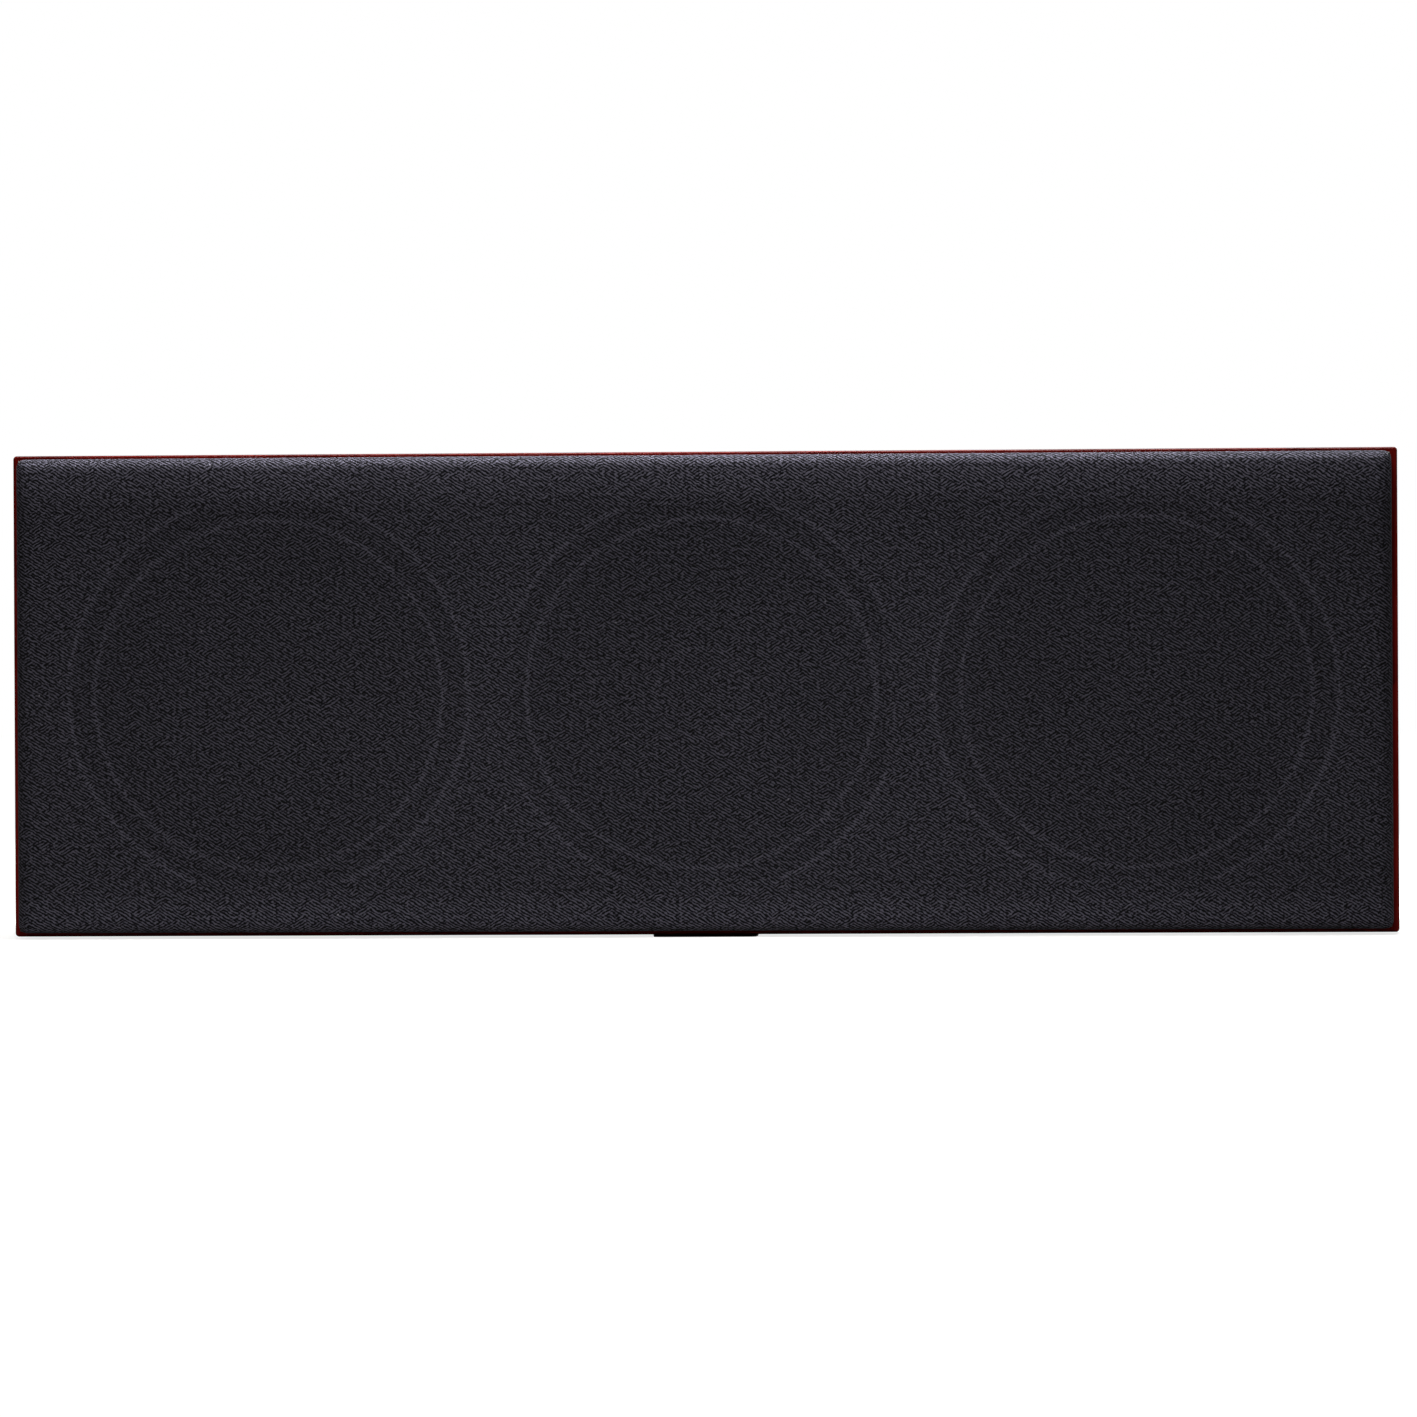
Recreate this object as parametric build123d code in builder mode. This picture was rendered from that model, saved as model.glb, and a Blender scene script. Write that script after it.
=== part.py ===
from build123d import *

import os

# A center channel loudspeaker: a long low veneered cabinet with a woofer at each end, a middle driver
# that carries the tweeter on a post, and a cloth grille that pulls off the whole front.
# Millimetres; +Z is up, the front faces -Y, and z = 0 is the floor under the feet.

# Cabinet
CABINET_DEPTH = 285.0
SLEEVE_WALL = 18.0
SLEEVE_EDGE_RADIUS = 1.6
SLEEVE_ARRIS = 0.6
BAFFLE_THICKNESS = 22.0
REAR_PANEL_THICKNESS = 18.0
REAR_PANEL_INSET = 2.0
CHAMBER_WALL_THICKNESS = 12.0
WADDING_THICKNESS = 25.0
WADDING_MARGIN = 4.0

# Feet: one wide pad under the front edge, two round pads at the back
FOOT_HEIGHT = 1.2
FRONT_FOOT_WIDTH = 47.0
FRONT_FOOT_DEPTH = 25.0
FRONT_FOOT_CORNER = 4.0
FRONT_FOOT_SETBACK = 2.0
REAR_FOOT_RADIUS = 11.0
REAR_FOOT_SETBACK = 40.0
REAR_FOOT_INSET = 60.0

# Grille: the frame's bars are set round the trim rings, and the cabinet round the grille
GRILLE_SIDE_MARGIN = 2.7
GRILLE_TOP_MARGIN = 1.75
GRILLE_GAP = 1.2
FRAME_THICKNESS = 12.0
FRAME_EDGE_RADIUS = 4.8
CLOTH_THICKNESS = 0.7
CLOTH_EASE = 0.4
HEM_WIDTH = 10.0
OPENING_ROOM = 9.0
OPENING_FLAT_ROOM = 2.5
MIDDLE_FLAT_ROOM = 2.0
MIDDLE_BAR = 21.5
LONG_BAR = 22.55
END_BAR = 23.6
PEG_RADIUS = 3.0
PEG_LENGTH = 10.0
PEG_ROOT = 8.0
PEG_TIP_CHAMFER = 1.0
PEG_TOP_INSET = 14.0
PEG_END_INSET = 23.0
PEG_CLEARANCE = 0.2
PEG_ROOT_CLEARANCE = 0.08
SOCKET_WALL = 1.3
SOCKET_FLANGE = 2.0
SOCKET_FLANGE_THICKNESS = 0.8
SOCKET_FLOOR = 1.5

# Drivers: radii from the driver's axis, heights measured forward from the baffle face
FLANGE_RADIUS = 84.0
FLANGE_SEAT = 12.0
FLANGE_LEDGE = 6.0
FLANGE_THICKNESS = 4.0
GASKET_THICKNESS = 1.0
SEAT_CLEARANCE = 0.5
BASKET_DEPTH = 56.0
BASKET_WALL = 2.8
BASKET_FLOOR = 3.0
BASKET_LIP = 1.5
SHELF_DEPTH = 37.5
SHELF_WIDTH = 5.5
WINDOW_COUNT = 6
WINDOW_WIDTH = 40.0
WINDOW_MARGIN = 4.5
TAG_WIDTH = 12.0
TAG_HEIGHT = 6.0
TAG_THICKNESS = 4.0
SCREW_INSET = 7.0
SCREWS_PER_DRIVER = 6
SCREW_RADIUS = 2.0
SCREW_LENGTH = 20.0
SCREW_HEAD_RADIUS = 3.2
SCREW_HEAD_HEIGHT = 2.4
SCREW_CLEARANCE = 0.2

# Trim ring over each driver's flange; its crest stands just behind the cloth
TRIM_SETBACK = 1.5
TRIM_SHOULDER = 2.9
TRIM_CREST_ROUND = 1.6
TRIM_OVERLAP = 3.5
TRIM_WALL = 2.0
CREST_CLEARANCE = 0.3

# Cone, surround and spider
CONE_RIM = 4.0
CONE_DEPTH = 27.0
CONE_THICKNESS = 1.2
SURROUND_THICKNESS = 1.0
ROLL_RADIUS = 6.0
SURROUND_LIP = 5.0
SURROUND_OVERHANG = 1.0
DUST_CAP_RADIUS = 23.0
DUST_CAP_RISE = 7.0
DUST_CAP_THICKNESS = 0.8
SPIDER_THICKNESS = 0.7
SPIDER_WAVES = 4
SPIDER_WAVE_HEIGHT = 1.6
GLUE_LINE = 0.2

# Motor
FORMER_RADIUS = 16.0
FORMER_WALL = 0.4
WINDING_THICKNESS = 0.8
WINDING_LENGTH = 14.0
COIL_CLEARANCE = 0.4
TOP_PLATE_RADIUS = 47.0
TOP_PLATE_THICKNESS = 6.0
MAGNET_INSET = 2.0
MAGNET_BORE_RADIUS = 27.0
MAGNET_THICKNESS = 16.0
BACK_PLATE_THICKNESS = 6.0
VENT_RADIUS = 5.0

# Tweeter on a post through the middle driver
POST_RADIUS = 6.0
POST_CLEARANCE = 0.1
POD_RADIUS = 22.5
POD_WALL = 2.0
POD_LENGTH = 13.0
POD_FRONT = 4.0
WAVEGUIDE_CREST_RADIUS = 20.5
WAVEGUIDE_CREST_ROUND = 1.0
WAVEGUIDE_THROAT_RADIUS = 14.0
DOME_RADIUS = 12.5
DOME_RISE = 4.5
DOME_THICKNESS = 0.5
DOME_FLANGE = 1.2
MOTOR_MARGIN = 0.5
MOTOR_HEIGHT = 8.0

# Reflex ports in the rear panel
PORT_RADIUS = 25.0
PORT_WALL = 2.5
PORT_LENGTH = 105.0
PORT_FLARE = 11.0
PORT_FLANGE_RADIUS = 42.0
PORT_FLANGE_THICKNESS = 2.5
PORT_CLEARANCE = 0.3

# Terminal plate and binding posts
PLATE_WIDTH = 104.0
PLATE_HEIGHT = 74.0
PLATE_CORNER = 8.0
PLATE_THICKNESS = 3.0
PLATE_LEDGE = 17.0
PLATE_SCREW_INSET = 7.5
POST_SPACING = 19.0
STUD_RADIUS = 3.2
STUD_HEAD_RADIUS = 5.5
STUD_HEAD_HEIGHT = 3.0
TAIL_RADIUS = 1.6
TAIL_LENGTH = 24.0
PLUG_BORE_RADIUS = 2.0
PLUG_BORE_DEPTH = 16.0
COLLAR_RADIUS = 7.5
COLLAR_HEIGHT = 4.5
CAP_RADIUS = 8.2
CAP_LENGTH = 17.0
CAP_GROOVES = 14
CAP_GROOVE_RADIUS = 0.9
CAP_CHAMFER = 1.0
CAP_CLEARANCE = 0.08
STUD_RECESS = 1.0

# Crossover on the floor of the middle chamber; points are places on the board from its middle
BOARD_WIDTH = 140.0
BOARD_LENGTH = 118.0
BOARD_THICKNESS = 1.6
SPACER_RADIUS = 4.0
SPACER_HEIGHT = 8.0
SPACER_INSET = 7.0
BOARD_SETBACK = 16.0
COIL_RADIUS = 19.0
COIL_BORE_RADIUS = 9.0
COIL_HEIGHT = 18.0
CAPACITOR_RADIUS = 9.0
CAPACITOR_LENGTH = 34.0
RESISTOR_LENGTH = 46.0
RESISTOR_SIZE = 10.0
COIL_POINTS = [(-44.0, -8.0), (44.0, -8.0), (-44.0, 35.0)]
CAPACITOR_POINTS = [(0.0, -2.0), (0.0, 19.0), (40.0, 25.0)]
RESISTOR_POINTS = [(38.0, 45.0), (-38.0, -38.0), (38.0, -38.0)]

# Leads
LEAD_RADIUS = 1.5
LEAD_BEND = 12.0
LEAD_HOLE_RADIUS = 6.0

# Sizes that follow from the drivers: trim rings, grille, then the cabinet round them
DRIVER_HOLE_RADIUS = FLANGE_RADIUS - FLANGE_SEAT
FLANGE_INNER_RADIUS = DRIVER_HOLE_RADIUS - FLANGE_LEDGE
SCREW_CIRCLE_RADIUS = FLANGE_RADIUS - SCREW_INSET
TRIM_RADIUS = FLANGE_RADIUS - TRIM_SETBACK
TRIM_CREST_RADIUS = TRIM_RADIUS - TRIM_SHOULDER
TRIM_INNER_RADIUS = FLANGE_INNER_RADIUS + TRIM_OVERLAP
OPENING_RADIUS = TRIM_RADIUS + OPENING_ROOM
OPENING_FLAT = TRIM_RADIUS + OPENING_FLAT_ROOM
MIDDLE_OPENING_FLAT = TRIM_RADIUS + MIDDLE_FLAT_ROOM
DRIVER_SPACING = OPENING_RADIUS + MIDDLE_BAR + MIDDLE_OPENING_FLAT
FRAME_WIDTH = 2 * (DRIVER_SPACING + OPENING_RADIUS + END_BAR)
FRAME_HEIGHT = 2 * (OPENING_FLAT + LONG_BAR)
GRILLE_WIDTH = FRAME_WIDTH + 2 * CLOTH_THICKNESS
GRILLE_HEIGHT = FRAME_HEIGHT + 2 * CLOTH_THICKNESS
CABINET_WIDTH = GRILLE_WIDTH + 2 * GRILLE_SIDE_MARGIN
CABINET_HEIGHT = GRILLE_HEIGHT + 2 * GRILLE_TOP_MARGIN
INNER_WIDTH = CABINET_WIDTH - 2 * SLEEVE_WALL
INNER_HEIGHT = CABINET_HEIGHT - 2 * SLEEVE_WALL
PEG_HEIGHT = INNER_HEIGHT / 2 - PEG_TOP_INSET
GRILLE_PROUD = GRILLE_GAP + FRAME_THICKNESS + CLOTH_THICKNESS
CAP_START = PLATE_THICKNESS + COLLAR_HEIGHT + CAP_CLEARANCE
POST_PROUD = CAP_START + CAP_LENGTH - REAR_PANEL_INSET
OVERALL_DEPTH = GRILLE_PROUD + CABINET_DEPTH + POST_PROUD

FRONT_Y = GRILLE_PROUD - OVERALL_DEPTH / 2
REAR_OUTER_Y = FRONT_Y + CABINET_DEPTH - REAR_PANEL_INSET
REAR_INNER_Y = REAR_OUTER_Y - REAR_PANEL_THICKNESS
BAFFLE_BACK_Y = FRONT_Y + BAFFLE_THICKNESS
AXIS_Z = FOOT_HEIGHT + CABINET_HEIGHT / 2
FLOOR_Z = FOOT_HEIGHT + SLEEVE_WALL
CEILING_Z = FLOOR_Z + INNER_HEIGHT

CREST_HEIGHT = GRILLE_GAP + FRAME_THICKNESS - CREST_CLEARANCE
SCREW_HOLE_RADIUS = SCREW_RADIUS + SCREW_CLEARANCE
REBATE_DEPTH = FLANGE_THICKNESS + GASKET_THICKNESS
SOCKET_BORE_RADIUS = PEG_RADIUS + PEG_CLEARANCE
SOCKET_RADIUS = SOCKET_BORE_RADIUS + SOCKET_WALL
SOCKET_DEPTH = PEG_LENGTH + SOCKET_FLOOR
FORMER_OUTER_RADIUS = FORMER_RADIUS + FORMER_WALL
WINDING_RADIUS = FORMER_OUTER_RADIUS + WINDING_THICKNESS
PLATE_BORE_RADIUS = WINDING_RADIUS + COIL_CLEARANCE
POLE_RADIUS = FORMER_RADIUS - COIL_CLEARANCE
CONE_RADIUS = FLANGE_INNER_RADIUS + SURROUND_OVERHANG - 2 * ROLL_RADIUS
ROLL_CENTER = CONE_RADIUS + ROLL_RADIUS
CONE_RIM_RADIUS = CONE_RADIUS - CONE_RIM
BASKET_MOUTH_RADIUS = DRIVER_HOLE_RADIUS - SEAT_CLEARANCE
MAGNET_RADIUS = TOP_PLATE_RADIUS - MAGNET_INSET
BASKET_BACK_RADIUS = TOP_PLATE_RADIUS + BASKET_LIP
SHELF_INNER_RADIUS = BASKET_BACK_RADIUS - BASKET_WALL
SHELF_OUTER_RADIUS = SHELF_INNER_RADIUS + SHELF_WIDTH

TOP_PLATE_FRONT = -BASKET_DEPTH
MAGNET_FRONT = TOP_PLATE_FRONT - TOP_PLATE_THICKNESS
BACK_PLATE_FRONT = MAGNET_FRONT - MAGNET_THICKNESS
MOTOR_BACK = BACK_PLATE_FRONT - BACK_PLATE_THICKNESS
WINDING_FRONT = TOP_PLATE_FRONT - TOP_PLATE_THICKNESS / 2 + WINDING_LENGTH / 2
WINDING_BACK = WINDING_FRONT - WINDING_LENGTH
TAG_BACK = -(SHELF_DEPTH + BASKET_DEPTH) / 2 - TAG_THICKNESS / 2
TAG_RADIUS = BASKET_BACK_RADIUS + TAG_HEIGHT / 2

BOARD_BOTTOM_Z = FLOOR_Z + SPACER_HEIGHT
BOARD_TOP_Z = BOARD_BOTTOM_Z + BOARD_THICKNESS
BOARD_Y = REAR_INNER_Y - BOARD_SETBACK - BOARD_LENGTH / 2

DRIVERS = {"left_woofer": -DRIVER_SPACING, "middle": 0.0, "right_woofer": DRIVER_SPACING}
WOOFERS = {name: x for name, x in DRIVERS.items() if x != 0.0}
PEG_COLUMNS = (GRILLE_WIDTH / 2 - PEG_END_INSET, DRIVER_SPACING / 2)
PEG_POINTS = [(side * x, level * PEG_HEIGHT) for x in PEG_COLUMNS for side in (-1, 1) for level in (-1, 1)]
PLATE_SCREW_POINTS = [
    (side * (PLATE_WIDTH / 2 - PLATE_SCREW_INSET), level * (PLATE_HEIGHT / 2 - PLATE_SCREW_INSET))
    for side in (-1, 1)
    for level in (-1, 1)
]

# Working planes: z of FRONT runs forward out of the baffle, z of REAR runs out of the rear panel
FRONT = Plane((0, FRONT_Y, AXIS_Z), x_dir=(1, 0, 0), z_dir=(0, -1, 0))
REAR = Plane((0, REAR_OUTER_Y, AXIS_Z), x_dir=(-1, 0, 0), z_dir=(0, 1, 0))
GRILLE_BACK = FRONT.offset(GRILLE_GAP)

os.makedirs("parts", exist_ok=True)


def save(piece, name):
    piece.part.label = name
    export_step(piece.part, f"parts/{name}.step")


def driver_plane(x):
    """Plane across a driver at the baffle face, z forward."""
    return Plane((x, FRONT_Y, AXIS_Z), x_dir=(1, 0, 0), z_dir=(0, -1, 0))


def profile_plane(x):
    """Plane through a driver's axis: x is the radius, y the height in front of the baffle face."""
    return Plane((x, FRONT_Y, AXIS_Z), x_dir=(1, 0, 0), z_dir=(0, 0, -1))


def driver_axis(x):
    return Axis((x, FRONT_Y, AXIS_Z), (0, -1, 0))


def turned_ring(x, inner, outer, front, back):
    """A plain ring turned about a driver's axis."""
    with BuildPart() as ring:
        with BuildSketch(profile_plane(x)):
            with Locations((inner, back)):
                Rectangle(outer - inner, front - back, align=(Align.MIN, Align.MIN))
        revolve(axis=driver_axis(x))
    return ring


def turned_outline(x, points):
    """A piece turned about a driver's axis from a closed outline of (radius, height) points."""
    with BuildPart() as piece:
        with BuildSketch(profile_plane(x)):
            with BuildLine():
                Polyline(*points, close=True)
            make_face()
        revolve(axis=driver_axis(x))
    return piece


def cone_height(radius):
    """Height of the cone's front face at a radius."""
    slope = (CONE_DEPTH - CONE_THICKNESS) / (CONE_RIM_RADIUS - FORMER_OUTER_RADIUS)
    return (radius - CONE_RIM_RADIUS) * slope


# Cabinet sleeve: one folded board round the four long sides, with the veneer on its outside
with BuildPart() as cabinet_sleeve:
    with BuildSketch(FRONT):
        RectangleRounded(CABINET_WIDTH, CABINET_HEIGHT, SLEEVE_EDGE_RADIUS)
        Rectangle(INNER_WIDTH, INNER_HEIGHT, mode=Mode.SUBTRACT)
    extrude(amount=-CABINET_DEPTH)
    chamfer(cabinet_sleeve.faces().sort_by(Axis.Y)[0].outer_wire().edges(), SLEEVE_ARRIS)
    chamfer(cabinet_sleeve.faces().sort_by(Axis.Y)[-1].outer_wire().edges(), SLEEVE_ARRIS)
save(cabinet_sleeve, "cabinet_sleeve")

# Front baffle: rebated driver holes with screw pilots, and holes for the grille sockets
with BuildPart(FRONT) as front_baffle:
    with BuildSketch(FRONT):
        Rectangle(INNER_WIDTH, INNER_HEIGHT)
    extrude(amount=-BAFFLE_THICKNESS)
    with GridLocations(DRIVER_SPACING, 0, 3, 1):
        CounterBoreHole(DRIVER_HOLE_RADIUS, FLANGE_RADIUS + SEAT_CLEARANCE, REBATE_DEPTH)
    with GridLocations(DRIVER_SPACING, 0, 3, 1):
        with PolarLocations(SCREW_CIRCLE_RADIUS, SCREWS_PER_DRIVER):
            Hole(SCREW_HOLE_RADIUS, depth=SCREW_LENGTH)
    with Locations(*PEG_POINTS):
        Hole(SOCKET_RADIUS, depth=SOCKET_DEPTH)
save(front_baffle, "front_baffle")

# Rear panel: two port holes and a window behind the terminal plate
with BuildPart(REAR) as rear_panel:
    with BuildSketch(REAR):
        Rectangle(INNER_WIDTH, INNER_HEIGHT)
        with GridLocations(2 * DRIVER_SPACING, 0, 2, 1):
            Circle(PORT_RADIUS + PORT_FLARE + PORT_WALL + PORT_CLEARANCE, mode=Mode.SUBTRACT)
        RectangleRounded(
            PLATE_WIDTH - 2 * PLATE_LEDGE, PLATE_HEIGHT - 2 * PLATE_LEDGE, PLATE_CORNER, mode=Mode.SUBTRACT
        )
    extrude(amount=-REAR_PANEL_THICKNESS)
    with Locations(*PLATE_SCREW_POINTS):
        Hole(SCREW_HOLE_RADIUS, depth=SCREW_LENGTH - PLATE_THICKNESS)
save(rear_panel, "rear_panel")

# Chamber walls between the drivers, each with a hole for the woofer's lead
LEAD_HOLE_POINT = (BOARD_Y - BOARD_LENGTH / 2 + LEAD_BEND, AXIS_Z - TAG_RADIUS)
with BuildPart() as chamber_walls:
    for side in (-1, 1):
        wall_plane = Plane.YZ.offset(side * DRIVER_SPACING / 2)
        with BuildSketch(wall_plane):
            with Locations((BAFFLE_BACK_Y, FLOOR_Z)):
                Rectangle(REAR_INNER_Y - BAFFLE_BACK_Y, INNER_HEIGHT, align=(Align.MIN, Align.MIN))
            with Locations(LEAD_HOLE_POINT):
                Circle(LEAD_HOLE_RADIUS, mode=Mode.SUBTRACT)
        extrude(amount=CHAMBER_WALL_THICKNESS / 2, both=True)
save(chamber_walls, "chamber_walls")

# Damping wadding under the top of each chamber, behind the drivers
WADDING_FRONT_Y = FRONT_Y - MOTOR_BACK + WADDING_MARGIN
CHAMBER_EDGES = (
    -INNER_WIDTH / 2,
    -(DRIVER_SPACING + CHAMBER_WALL_THICKNESS) / 2,
    -(DRIVER_SPACING - CHAMBER_WALL_THICKNESS) / 2,
)
with BuildPart() as damping_wadding:
    with BuildSketch(Plane.XY.offset(CEILING_Z)):
        for left, right in (CHAMBER_EDGES[:2], (CHAMBER_EDGES[2], -CHAMBER_EDGES[2])):
            with Locations((left + WADDING_MARGIN, WADDING_FRONT_Y)):
                Rectangle(
                    right - left - 2 * WADDING_MARGIN,
                    REAR_INNER_Y - WADDING_MARGIN - WADDING_FRONT_Y,
                    align=(Align.MIN, Align.MIN),
                )
    extrude(amount=-WADDING_THICKNESS)
    mirror(damping_wadding.solids().sort_by(Axis.X)[0], about=Plane.YZ)
save(damping_wadding, "damping_wadding")

# Feet
with BuildPart() as front_foot:
    with BuildSketch(Plane.XY):
        with Locations((0, FRONT_Y + FRONT_FOOT_SETBACK + FRONT_FOOT_DEPTH / 2)):
            RectangleRounded(FRONT_FOOT_WIDTH, FRONT_FOOT_DEPTH, FRONT_FOOT_CORNER)
    extrude(amount=FOOT_HEIGHT)
save(front_foot, "front_foot")

with BuildPart() as rear_feet:
    with BuildSketch(Plane.XY):
        with Locations((0, FRONT_Y + CABINET_DEPTH - REAR_FOOT_SETBACK)):
            with GridLocations(CABINET_WIDTH - 2 * REAR_FOOT_INSET, 0, 2, 1):
                Circle(REAR_FOOT_RADIUS)
    extrude(amount=FOOT_HEIGHT)
save(rear_feet, "rear_feet")


# Grille: a board frame with three openings, the cloth stretched over it, and its pegs
def grille_block(width, height, back, front, edge_radius):
    """A slab on the grille's planes with its front edge rounded."""
    with BuildPart() as block:
        with BuildSketch(FRONT.offset(back)):
            Rectangle(width, height)
        extrude(amount=front - back)
        fillet(block.faces().sort_by(Axis.Y)[0].edges(), edge_radius)
    return block.part


FRAME_FRONT = GRILLE_GAP + FRAME_THICKNESS
CLOTH_BACK = GRILLE_GAP - CLOTH_THICKNESS
CLOTH_EDGE_RADIUS = FRAME_EDGE_RADIUS + CLOTH_THICKNESS
ROOM_EDGE_RADIUS = FRAME_EDGE_RADIUS - CLOTH_EASE
frame_blank = grille_block(FRAME_WIDTH, FRAME_HEIGHT, GRILLE_GAP, FRAME_FRONT, FRAME_EDGE_RADIUS)
cloth_room = grille_block(FRAME_WIDTH, FRAME_HEIGHT, GRILLE_GAP, FRAME_FRONT, ROOM_EDGE_RADIUS)
cloth_blank = grille_block(GRILLE_WIDTH, GRILLE_HEIGHT, CLOTH_BACK, GRILLE_PROUD, CLOTH_EDGE_RADIUS)

with BuildPart() as grille_frame:
    add(frame_blank)
    with BuildSketch(GRILLE_BACK):
        with GridLocations(DRIVER_SPACING, 0, 3, 1):
            Circle(OPENING_RADIUS)
        Rectangle(FRAME_WIDTH, 2 * OPENING_FLAT, mode=Mode.INTERSECT)
        with GridLocations(2 * MIDDLE_OPENING_FLAT + MIDDLE_BAR, 0, 2, 1):
            Rectangle(MIDDLE_BAR, FRAME_HEIGHT, mode=Mode.SUBTRACT)
    extrude(amount=FRAME_THICKNESS, mode=Mode.SUBTRACT)
    with BuildSketch(GRILLE_BACK):
        with Locations(*PEG_POINTS):
            Circle(PEG_RADIUS + PEG_ROOT_CLEARANCE)
    extrude(amount=PEG_ROOT, mode=Mode.SUBTRACT)
save(grille_frame, "grille_frame")

with BuildPart() as grille_cloth:
    add(cloth_blank)
    add(cloth_room, mode=Mode.SUBTRACT)
    with BuildSketch(GRILLE_BACK):
        Rectangle(GRILLE_WIDTH - 2 * HEM_WIDTH, GRILLE_HEIGHT - 2 * HEM_WIDTH)
    extrude(amount=-CLOTH_THICKNESS, mode=Mode.SUBTRACT)
save(grille_cloth, "grille_cloth")

with BuildPart() as grille_pegs:
    with BuildSketch(GRILLE_BACK.offset(-PEG_LENGTH + GRILLE_GAP)):
        with Locations(*PEG_POINTS):
            Circle(PEG_RADIUS)
    extrude(amount=PEG_LENGTH - GRILLE_GAP + PEG_ROOT)
    chamfer(grille_pegs.faces().group_by(Axis.Y)[-1].edges(), PEG_TIP_CHAMFER)
save(grille_pegs, "grille_pegs")

with BuildPart() as grille_sockets:
    with BuildSketch(FRONT):
        with Locations(*PEG_POINTS):
            Circle(SOCKET_RADIUS)
    extrude(amount=-SOCKET_DEPTH)
    with BuildSketch(FRONT):
        with Locations(*PEG_POINTS):
            Circle(SOCKET_RADIUS + SOCKET_FLANGE)
    extrude(amount=SOCKET_FLANGE_THICKNESS)
    with BuildSketch(FRONT.offset(SOCKET_FLANGE_THICKNESS)):
        with Locations(*PEG_POINTS):
            Circle(SOCKET_BORE_RADIUS)
    extrude(amount=-SOCKET_FLANGE_THICKNESS - PEG_LENGTH, mode=Mode.SUBTRACT)
save(grille_sockets, "grille_sockets")


# Driver pieces that stay with the cabinet
def basket(x):
    """Cast basket: flange, windowed skirt, spider shelf, floor and a solder tag under it."""
    back_mouth = SHELF_OUTER_RADIUS + BASKET_WALL
    with BuildPart(driver_plane(x)) as cast:
        with BuildSketch(profile_plane(x)):
            with BuildLine():
                Polyline(
                    (FLANGE_INNER_RADIUS, 0),
                    (FLANGE_RADIUS, 0),
                    (FLANGE_RADIUS, -FLANGE_THICKNESS),
                    (BASKET_MOUTH_RADIUS, -FLANGE_THICKNESS),
                    (back_mouth, -SHELF_DEPTH - BASKET_WALL),
                    (BASKET_BACK_RADIUS, -SHELF_DEPTH - BASKET_WALL),
                    (BASKET_BACK_RADIUS, -BASKET_DEPTH),
                    (PLATE_BORE_RADIUS + BASKET_WALL, -BASKET_DEPTH),
                    (PLATE_BORE_RADIUS + BASKET_WALL, -BASKET_DEPTH + BASKET_FLOOR),
                    (SHELF_INNER_RADIUS, -BASKET_DEPTH + BASKET_FLOOR),
                    (SHELF_INNER_RADIUS, -SHELF_DEPTH),
                    (SHELF_OUTER_RADIUS, -SHELF_DEPTH),
                    (BASKET_MOUTH_RADIUS - BASKET_WALL, -FLANGE_THICKNESS),
                    (FLANGE_INNER_RADIUS, -FLANGE_THICKNESS),
                    close=True,
                )
            make_face()
        revolve(axis=driver_axis(x))
        window_top = -FLANGE_THICKNESS - WINDOW_MARGIN
        window_height = SHELF_DEPTH - FLANGE_THICKNESS - 2 * WINDOW_MARGIN
        with Locations((0, 0, window_top - window_height)):
            with PolarLocations(SHELF_OUTER_RADIUS, WINDOW_COUNT):
                Box(
                    2 * (FLANGE_RADIUS - SHELF_OUTER_RADIUS),
                    WINDOW_WIDTH,
                    window_height,
                    align=(Align.CENTER, Align.CENTER, Align.MIN),
                    mode=Mode.SUBTRACT,
                )
        with PolarLocations(SCREW_CIRCLE_RADIUS, SCREWS_PER_DRIVER):
            Hole(SCREW_HOLE_RADIUS, depth=FLANGE_THICKNESS)
        with Locations((0, -BASKET_BACK_RADIUS + BASKET_WALL / 2, TAG_BACK)):
            Box(
                TAG_WIDTH,
                TAG_HEIGHT + BASKET_WALL / 2,
                TAG_THICKNESS,
                align=(Align.CENTER, Align.MAX, Align.MIN),
            )
    return cast


def trim_ring(x):
    """Moulded ring over the flange: a steep outside, a rounded crest and a sloping inside."""
    shoulder = CREST_HEIGHT - TRIM_CREST_ROUND
    foot = SURROUND_THICKNESS + GLUE_LINE
    with BuildPart() as ring:
        with BuildSketch(profile_plane(x)):
            with BuildLine():
                Line((TRIM_RADIUS, 0), (TRIM_CREST_RADIUS + TRIM_CREST_ROUND, shoulder))
                ThreePointArc(
                    (TRIM_CREST_RADIUS + TRIM_CREST_ROUND, shoulder),
                    (TRIM_CREST_RADIUS, CREST_HEIGHT),
                    (TRIM_CREST_RADIUS - TRIM_CREST_ROUND, shoulder),
                )
                Polyline(
                    (TRIM_CREST_RADIUS - TRIM_CREST_ROUND, shoulder),
                    (TRIM_INNER_RADIUS, foot + TRIM_WALL / 2),
                    (TRIM_INNER_RADIUS, foot),
                    (TRIM_INNER_RADIUS + TRIM_WALL, foot),
                    (TRIM_CREST_RADIUS - TRIM_WALL / 2, shoulder - TRIM_WALL),
                    (TRIM_CREST_RADIUS, shoulder - TRIM_WALL),
                    (TRIM_RADIUS - TRIM_WALL, 0),
                    (TRIM_RADIUS, 0),
                )
            make_face()
        revolve(axis=driver_axis(x))
    return ring


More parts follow.
